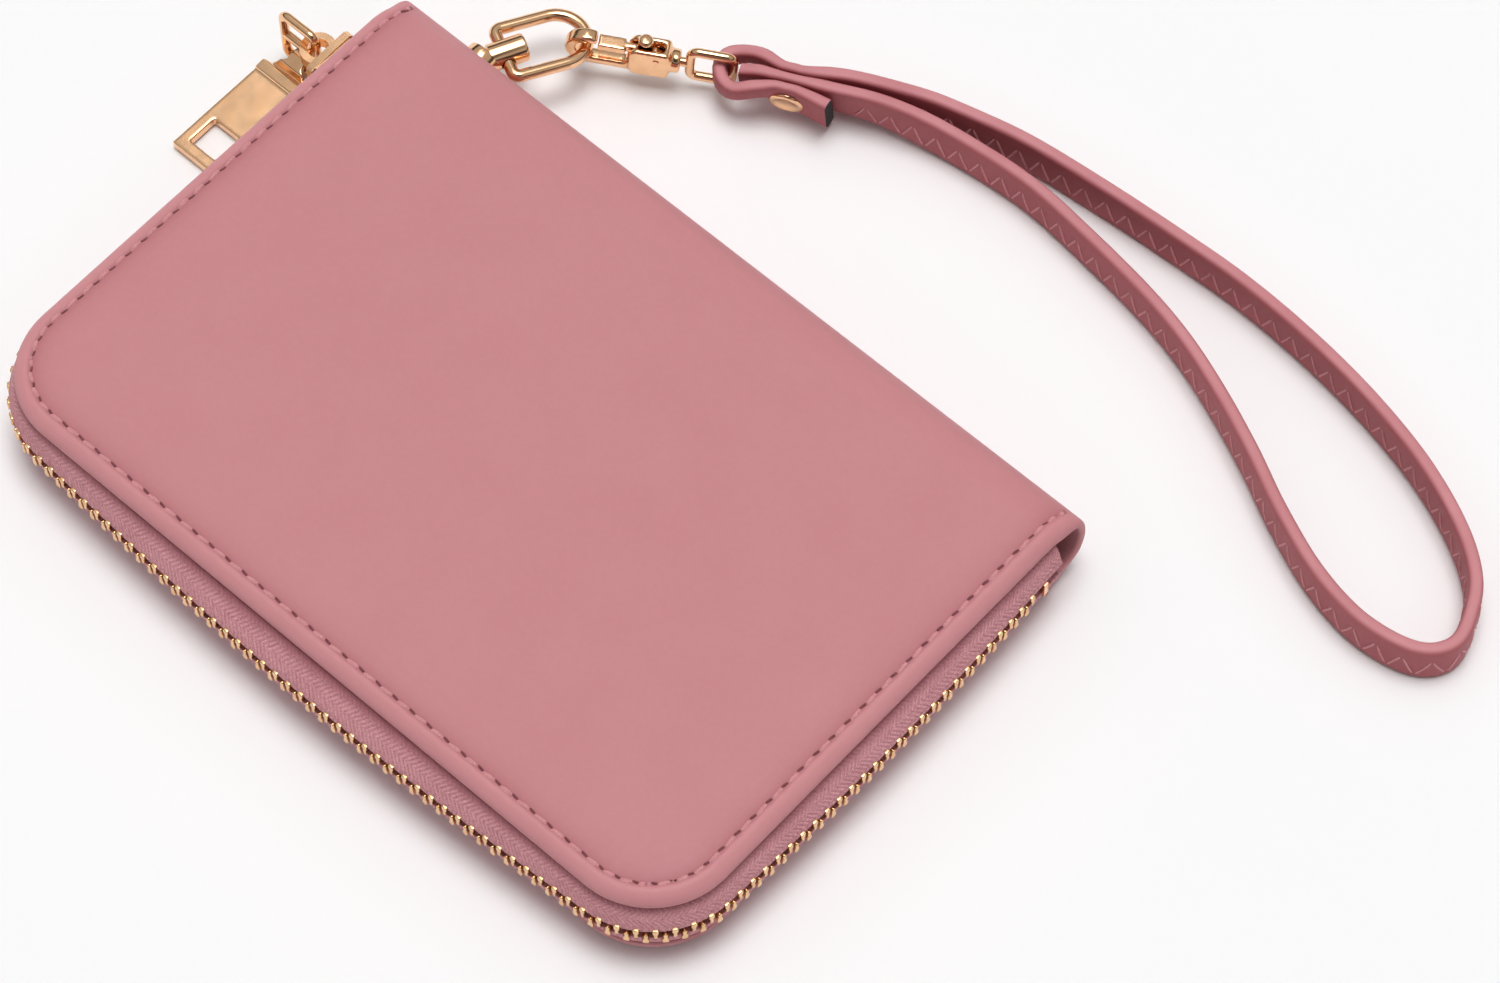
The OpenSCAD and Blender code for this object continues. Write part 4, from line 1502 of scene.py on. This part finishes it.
@dataclass
class WristStrap:
    """The leather strap: folded round the ring, riveted, and run out into a loop.

    The points of loop are in plan from the ring's bar, those of fold are a distance out from
    the bar and a layer, and those of cap and burr are a radius and a height over the leather.
    """

    finishes: Finishes
    bar_x: float = 73.61564
    bar_y: float = 25.14231
    width: float = 8.0
    thick: float = 2.2
    angle_deg: float = 65.0
    layer: float = 2.35
    near_end: float = 1.35
    rivet_at: float = 9.3
    rivet_layers: int = 3
    rivet_play: float = 0.15
    stem_r: float = 0.8
    pinch_t: float = 1.7
    pinch_l: float = 5.5
    tail_l: float = 16.2
    tail_layers: Pair = (1.3, 1.6)
    notch_h: float = 4.0
    notch_r: float = 6.0
    notch_soft: float = 3.5
    lean: float = 0.19
    lean_in: Pair = (-2.5, 2.0)
    lean_out: Pair = (15.0, 34.0)
    lift: float = 1.6
    lift_in: Pair = (-0.5, 5.0)
    lift_out: Pair = (15.0, 42.0)
    edge_r: float = 0.9
    edge_flat: float = 0.02
    edge_steps: int = 5
    # How far up the section must face before its wear and painted highlight begin.
    rub_from: float = 0.4
    step: float = 0.9
    curve_steps: int = 10
    sharp_deg: float = 60.0
    zig_pitch: float = 4.0
    zig_low: float = 1.0
    zig_high: float = 5.4
    zig_r: float = 0.19
    zig_out: float = 0.05
    zig_dive: float = 0.26
    zig_start: float = 18.0
    zig_stop: float = 46.0
    loop: tuple[Pair, ...] = (
        (6.8, -14.3), (10.1, -21.3), (12.4, -29.4), (13.8, -38.2), (14.3, -48.0), (13.2, -59.4),
        (11.3, -72.4), (8.9, -82.3), (5.2, -92.2), (0.9, -101.6), (-3.7, -110.5), (-8.0, -121.0),
        (-9.8, -130.9), (-8.3, -139.5), (-4.0, -143.1), (1.7, -141.7), (6.9, -138.3),
        (11.8, -131.5), (16.4, -121.0), (19.7, -108.4), (21.7, -95.0), (22.5, -82.0),
        (22.1, -69.5), (21.2, -55.5), (19.6, -41.1), (16.5, -29.2), (13.3, -21.2), (10.1, -14.6),
    )
    fold: tuple[Pair, ...] = (
        (11.3, 0.8172), (9.3, 0.7872), (7.3, 0.8172), (4.6, 1.22), (2.0, 1.48), (0.2, 1.36),
        (-1.35, 0.85), (-2.0, 0.0),
    )
    cap: tuple[Pair, ...] = (
        (0.8, -0.1), (2.62, -0.1), (2.8, 0.06), (2.78, 0.26), (2.6, 0.42), (2.28, 0.5),
        (1.9, 0.46), (1.5, 0.3), (1.0, 0.2), (0.4, 0.17),
    )
    burr: tuple[Pair, ...] = (
        (0.3, 0.62), (1.2, 0.6), (1.7, 0.46), (1.9, 0.2), (1.85, -0.08), (0.84, -0.1),
    )

    @property
    def way(self) -> Vector:
        """The direction in which the strap leaves the ring."""
        a = math.radians(self.angle_deg)
        return Vector((math.cos(a), -math.sin(a)))

    def along(self, distance: float, layers: float) -> Vector:
        """Gives a point beside the ring's bar.

        Args:
            distance: Distance out from the bar.
            layers: Which layer of the folded end it is in.

        Returns:
            The point in plan, from the bar.
        """
        return self.way * distance + left_of(self.way) * layers * self.layer

    def route(self) -> list[Vector]:
        """Gives the strap's middle line in plan: out, round the loop, round the ring, to the tail.

        Returns:
            Points from the bar at equal steps.
        """
        starts = (self.near_end - self.layer, self.near_end, self.rivet_at)
        ends = (self.tail_l, self.tail_l + self.layer)
        knots = [self.along(d, 0) for d in starts]
        knots += [Vector(p) for p in self.loop]
        knots += [self.along(d, layers) for d, layers in self.fold]
        knots += [self.along(d, -layers) for d, layers in self.fold[-2::-1]]
        knots += [self.along(d, -layers) for d, layers in zip(ends, self.tail_layers)]
        line = []
        for a, b, c, d in zip(knots, knots[1:], knots[2:], knots[3:]):
            for k in range(self.curve_steps):
                t = k / self.curve_steps
                square = (2 * a - 5 * b + 4 * c - d) * t * t
                line.append(0.5 * (2 * b + (c - a) * t + square + (3 * b - a - 3 * c + d) * t**3))
        line.append(knots[-2])
        return self.even(line, self.step)

    def even(self, line: list[Vector], step: float) -> list[Vector]:
        """Spaces points evenly along a line.

        Args:
            line: The line's points.
            step: Spacing.

        Returns:
            The evenly spaced points.
        """
        lengths = [0.0]
        for a, b in zip(line, line[1:]):
            lengths.append(lengths[-1] + (b - a).length)
        count = round(lengths[-1] / step)
        made = []
        k = 0
        for i in range(count + 1):
            s = lengths[-1] * i / count
            while k < len(line) - 2 and lengths[k + 1] < s:
                k += 1
            span = max(lengths[k + 1] - lengths[k], TINY)
            made.append(line[k].lerp(line[k + 1], min(1.0, (s - lengths[k]) / span)))
        return made

    def foot(self, place: Vector) -> float:
        """Gives the height of the strap's lower edge, which is cut away round the ring's wire."""
        past = smooth_step(self.notch_r, self.notch_r + self.notch_soft, place.length)
        return self.notch_h * (1 - past)

    def squeeze(self, place: Vector) -> float:
        """Gives the strap's thickness, less where the rivet presses it."""
        d = min(1.0, abs(place.dot(self.way) - self.rivet_at) / self.pinch_l)
        return self.thick - (self.thick - self.pinch_t) * (1 - d * d) ** 2

    def section(self, low: float, thick: float) -> list[tuple[float, float, float]]:
        """Gives the strap's rounded section.

        Args:
            low: Height of its lower edge.
            thick: Its thickness.

        Returns:
            The distance to the side, the height and the share of wear with painted highlight,
            which lies on the upward-facing edge, round the section.
        """
        half = thick / 2
        r = min(self.edge_r, half - self.edge_flat)
        x, top, foot = half - r, self.width - r, low + r
        ring = []
        for cx, cz, start in ((x, top, 0), (-x, top, 90), (-x, foot, 180), (x, foot, 270)):
            for k in range(self.edge_steps + 1):
                a = math.radians(start + 90 * k / self.edge_steps)
                # Upward-facing edges get wear with a painted highlight.
                rub = smooth_step(self.rub_from, 1.0, math.sin(a))
                ring.append((cx + r * math.cos(a), cz + r * math.sin(a), rub))
        return ring

    def lay(self, place: Vector, out: Vector, z: float) -> Vector:
        """Lays a point of the strap, whose riveted end leans over and hangs clear of the floor.

        Args:
            place: The strap's middle line in plan, from the bar.
            out: Step to the side in plan.
            z: Height in the flat strap.

        Returns:
            The point in the shared frame.
        """
        u = place.dot(self.way)
        lean = self.lean * smooth_step(*self.lean_in, u) * (1 - smooth_step(*self.lean_out, u))
        lift = self.lift * smooth_step(*self.lift_in, u) * (1 - smooth_step(*self.lift_out, u))
        q = place + out + left_of(self.way) * lean * (self.width / 2 - z)
        return Vector((self.bar_x + q.x, self.bar_y + q.y, z + lift))

    def rivet(self) -> list[bpy.types.Object]:
        """Builds the dimpled rivet through the three layers and its plain back.

        Returns:
            The pieces.
        """
        axis = -Vector((*left_of(self.way), self.lean)).normalized()
        middle = self.lay(self.way * self.rivet_at, Vector((0, 0)), self.width / 2)
        reach = self.rivet_layers / 2 * self.pinch_t + self.rivet_play
        cap = [(self.stem_r, -reach), *((r, reach + up) for r, up in self.cap)]
        burr = [(r, -reach - up) for r, up in self.burr]
        made = []
        for outline, name, node in (
            (cap, "rivet_cap", "strap_rivet"),
            (burr, "rivet_back", "rivet_burr"),
        ):
            sheet = Sheet()
            sheet.lathe(middle, axis, outline)
            piece = sheet.piece(name, [self.finishes.gold])
            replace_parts(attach(piece, "strap"), node)
            made.append(piece)
        return made

    def build(self) -> list[bpy.types.Object]:
        """Builds the strap, its zigzag stitching and its rivet.

        Returns:
            The pieces.
        """
        line = self.route()
        last = len(line) - 1
        sheet = Sheet()
        rows = []
        frames = []
        for i, p in enumerate(line):
            side = left_of((line[min(i + 1, last)] - line[max(i - 1, 0)]).normalized())
            frames.append((p, side))
            row = []
            for out, z, rub in self.section(self.foot(p), self.squeeze(p)):
                row.append(sheet.add(self.lay(p, side * out, z), rub=rub))
            rows.append(row)
        sheet.close(rows, 0, 1)
        materials = [self.finishes.strap, self.finishes.core]
        strap = sheet.piece("leather_strap", materials, self.sharp_deg)
        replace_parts(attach(strap, "strap"), "wrist_strap")
        return [strap, self.zigzag(frames), *self.rivet()]

    def zigzag(self, frames: list[tuple[Vector, Vector]]) -> bpy.types.Object:
        """Builds the zigzag stitching on both faces of the loop.

        Args:
            frames: The strap's points and side directions.

        Returns:
            The piece.
        """
        sheet = Sheet()
        half_pitch = self.zig_pitch / 2
        end = (len(frames) - 1) * self.step - self.zig_stop
        count = int((end - self.zig_start) / half_pitch)
        for face in (-1, 1):
            for k in range(count):
                line = []
                for t in (0.04, 0.2, 0.5, 0.8, 0.96):
                    at = (self.zig_start + (k + t) * half_pitch) / self.step
                    i = int(at)
                    p = frames[i][0].lerp(frames[i + 1][0], at - i)
                    dive = self.zig_dive * abs(2 * t - 1) ** 3
                    out = self.squeeze(p) / 2 + self.zig_out - dive
                    up = t if k % 2 == 0 else 1 - t
                    z = self.zig_low + (self.zig_high - self.zig_low) * up
                    line.append(self.lay(p, frames[i][1] * face * out, z))
                sheet.tube(line, self.zig_r)
        made = sheet.piece("strap_stitches", [self.finishes.zigzag], ALL_SMOOTH_DEG)
        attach(made, "strap")
        return made


@dataclass
class Hardware:
    """Metal and hidden solids that keep their shape and get a finish and softened edges."""

    finishes: Finishes
    teeth: tuple[str, ...] = ("lower_teeth", "lower_run_teeth", "upper_teeth", "upper_run_teeth")
    tooth_bevel_mm: float = 0.3
    tooth_slim_mm: float = 0.14
    stop_slim_mm: float = 0.3
    wires: tuple[str, ...] = ("pull_link", "strap_link", "gate_pin", "strap_ring")
    boards: tuple[str, ...] = ("front_board", "back_board")
    weld_mm: float = 0.002
    flat_deg: float = 0.6
    crisp_deg: float = 32.0
    bevel_steps: int = 3
    cast_grain_mm: float = 0.12
    cast_pull: float = 0.5
    cast_passes: dict[str, int] = field(
        default_factory=lambda: {"clasp_body": 110, "clasp_gate": 22, "pull_tab": 14}
    )
    bevels_mm: dict[str, float] = field(
        default_factory=lambda: {
            "anchor_post": 0.2, "anchor_washer": 0.08, "anchor_screw": 0.1, "zip_slider": 0.3,
            "upper_top_stop": 0.15, "lower_top_stop": 0.15, "bottom_stop": 0.2,
        }
    )

    def soften(self, name: str, width_mm: float) -> None:
        """Rounds a solid's crisp edges with modifiers.

        Args:
            name: The solid's name.
            width_mm: Width of the rounding.
        """
        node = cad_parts[name]
        weld = node.modifiers.new("weld", "WELD")
        weld.merge_threshold = self.weld_mm * MM
        merge = node.modifiers.new("whole_faces", "DECIMATE")
        merge.decimate_type = "DISSOLVE"
        merge.angle_limit = math.radians(self.flat_deg)
        bevel = node.modifiers.new("soft_edges", "BEVEL")
        bevel.width = width_mm * MM
        bevel.segments = self.bevel_steps
        bevel.limit_method = "ANGLE"
        bevel.angle_limit = math.radians(self.crisp_deg)
        bevel.use_clamp_overlap = True
        shade = node.modifiers.new("even_shade", "WEIGHTED_NORMAL")
        shade.keep_sharp = False

    def slim(self, name: str, depth_mm: float) -> None:
        """Draws a solid's faces in with a modifier.

        Args:
            name: The solid's name.
            depth_mm: How far the faces move in.
        """
        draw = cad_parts[name].modifiers.new("slim", "DISPLACE")
        draw.strength = -depth_mm * MM
        draw.mid_level = 0.0

    def cast(self, name: str, passes: int) -> None:
        """Melts a solid's edges into a smooth cast form with modifiers.

        Args:
            name: The solid's name.
            passes: How often the edges are smoothed.
        """
        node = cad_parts[name]
        fine = node.modifiers.new("fine_skin", "REMESH")
        fine.mode = "VOXEL"
        fine.voxel_size = self.cast_grain_mm * MM
        fine.use_smooth_shade = True
        melt = node.modifiers.new("melted_edges", "SMOOTH")
        melt.factor = self.cast_pull
        melt.iterations = passes

    def dress(
        self, names: Iterable[str], material: bpy.types.Material
    ) -> list[bpy.types.Object]:
        """Gives solids a finish.

        Args:
            names: The solids' names.
            material: Their finish.

        Returns:
            The solids.
        """
        nodes = [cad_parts[name] for name in names]
        for node in nodes:
            node.data.materials.clear()
            node.data.materials.append(material)
        return nodes

    def build(self) -> list[bpy.types.Object]:
        """Dresses every kept solid.

        Returns:
            The dressed solids.
        """
        gold = (*self.bevels_mm, *self.wires, *self.cast_passes)
        made = self.dress(gold, self.finishes.gold)
        made += self.dress(self.teeth, self.finishes.teeth)
        made += self.dress(["gate_spring"], self.finishes.steel)
        made += self.dress(self.boards, self.finishes.board)
        for name, width in self.bevels_mm.items():
            self.soften(name, width)
        for name in self.teeth:
            self.soften(name, self.tooth_bevel_mm)
            self.slim(name, self.tooth_slim_mm)
        self.slim("bottom_stop", self.stop_slim_mm)
        for name, passes in self.cast_passes.items():
            self.cast(name, passes)
        return made


@dataclass(frozen=True)
class StudioRoom:
    """Light of the room by direction: sweep, ceiling, lamp, window and the dark camera side."""

    sweep: float = 1.0
    sweep_top: float = 0.16
    sweep_soft: float = 0.05
    dark: float = 0.03
    fill: float = 0.5
    fill_from: float = 0.42
    fill_full: float = 0.56
    lamp: float = 4.6
    lamp_at: Point = LAMP_AT
    lamp_deg: Pair = (20.0, 15.5)
    window: float = 3.2
    window_at: Point = (0.348, 0.312, 0.884)
    window_deg: Pair = (5.4, 4.4)
    shade_at: Point = (-0.372, -0.334, 0.866)
    shade_deg: Pair = (27.0, 20.0)

    def spot(self, nodes: Nodes, way: Value, at: Point, degrees: Pair) -> Value:
        """Gives a round patch of the room.

        Args:
            nodes: The world's nodes.
            way: The direction looked in.
            at: Direction of the patch's middle.
            degrees: Angles from the middle at which the patch starts and is full.

        Returns:
            0 outside the patch and 1 inside.
        """
        middle = tuple(Vector(at).normalized())
        near = nodes.node(
            "ShaderNodeVectorMath", {"operation": "DOT_PRODUCT"}, {0: way, 1: middle}, out="Value"
        )
        return near.rise(*(math.cos(math.radians(d)) for d in degrees))

    def make(self) -> bpy.types.World:
        """Builds the world.

        Returns:
            The world.
        """
        world = bpy.data.worlds.new("studio")
        world.use_nodes = True
        nodes = Nodes(world.node_tree)
        way = nodes.node("ShaderNodeTexCoord", out="Generated")
        height = nodes.node("ShaderNodeSeparateXYZ", None, {0: way}, out="Z")
        over = height.rise(self.sweep_top, self.sweep_top + self.sweep_soft)
        fill = height.rise(self.fill_from, self.fill_full)
        lamp = self.spot(nodes, way, self.lamp_at, self.lamp_deg)
        window = self.spot(nodes, way, self.window_at, self.window_deg)
        shade = self.spot(nodes, way, self.shade_at, self.shade_deg)
        level = self.sweep + over * (self.dark - self.sweep) + fill * (self.fill - self.dark)
        level = level + shade * (self.dark - level)
        level = level + lamp * (self.lamp - self.fill) + window * self.window
        sky = world.node_tree.nodes["Background"]
        nodes.plug(sky.inputs["Color"], (1.0, 1.0, 1.0))
        nodes.plug(sky.inputs["Strength"], level)
        return world


@dataclass
class Studio:
    """Floor, light and camera."""

    floor_half_m: float = 1.6
    floor_drop_mm: float = 0.05
    floor_colour: Colour = (0.975, 0.972, 0.975)
    camera_at: Point = (-0.2670, -0.2844, 0.7153)
    target: Point = (0.01605, -0.03008, 0.018)
    lens_px: float = 5534.0
    image_w_px: float = 1500.0
    sensor_mm: float = 36.0
    key_from: Point = LAMP_AT
    key_strength: float = 0.75
    key_spread_deg: float = 24.0

    def place(self, made: bpy.types.Object, at: Point, way: Vector, axis: str) -> None:
        """Puts a lamp or a camera into the scene.

        Args:
            made: The lamp or camera.
            at: Where it stands, in metres.
            way: A direction to turn it to.
            axis: Its own axis that then lies along that direction.
        """
        made.location = at
        made.rotation_mode = "QUATERNION"
        made.rotation_quaternion = way.to_track_quat(axis, "Y")
        bpy.context.scene.collection.objects.link(made)

    def floor(self) -> bpy.types.Object:
        """Builds the pale floor under the wallet.

        Returns:
            The floor.
        """
        r = self.floor_half_m / MM
        corners = ((-r, -r), (r, -r), (r, r), (-r, r))
        sheet = Sheet()
        sheet.face([sheet.add((x, y, -self.floor_drop_mm)) for x, y in corners])
        made = sheet.piece("floor", [FloorFinish("pale_floor", self.floor_colour).make()])
        return made

    def key(self) -> bpy.types.Object:
        """Adds the broad key lamp.

        Returns:
            The lamp.
        """
        data = bpy.data.lights.new("key", "SUN")
        data.energy = self.key_strength
        data.angle = math.radians(self.key_spread_deg)
        made = bpy.data.objects.new("key", data)
        self.place(made, self.key_from, Vector(self.key_from), "Z")
        return made

    def camera(self) -> bpy.types.Object:
        """Adds the camera at the photograph's place.

        Returns:
            The camera.
        """
        data = bpy.data.cameras.new("camera")
        data.sensor_width = self.sensor_mm
        data.sensor_fit = "HORIZONTAL"
        data.lens = self.lens_px / self.image_w_px * self.sensor_mm
        made = bpy.data.objects.new("camera", data)
        self.place(made, self.camera_at, Vector(self.target) - Vector(self.camera_at), "-Z")
        bpy.context.scene.camera = made
        return made

    def build(self) -> list[bpy.types.Object]:
        """Sets up the whole studio.

        Returns:
            The floor, lamp and camera.
        """
        bpy.context.scene.world = StudioRoom().make()
        bpy.context.scene.view_settings.view_transform = "Standard"
        return [self.floor(), self.key(), self.camera()]


def clear_start() -> None:
    """Removes whatever the new file starts with."""
    for name in ("Cube", "Light", "Camera"):
        found = bpy.data.objects.get(name)
        if found is not None:
            bpy.data.objects.remove(found)


def main() -> None:
    """Builds every sub-assembly in order and reports its pieces."""
    logging.basicConfig(level=logging.INFO, format="%(name)s: %(message)s")
    clear_start()
    finishes = Finishes()
    path = EdgePath()
    for maker in (
        Studio(),
        CoverLeather(path, finishes),
        ZipTape(path, finishes),
        Panels(path, finishes),
        WristStrap(finishes),
        Hardware(finishes),
    ):
        for made in maker.build():
            LOG.info("%s: %s", type(maker).__name__, made.name)


if __name__ == "__main__":
    main()
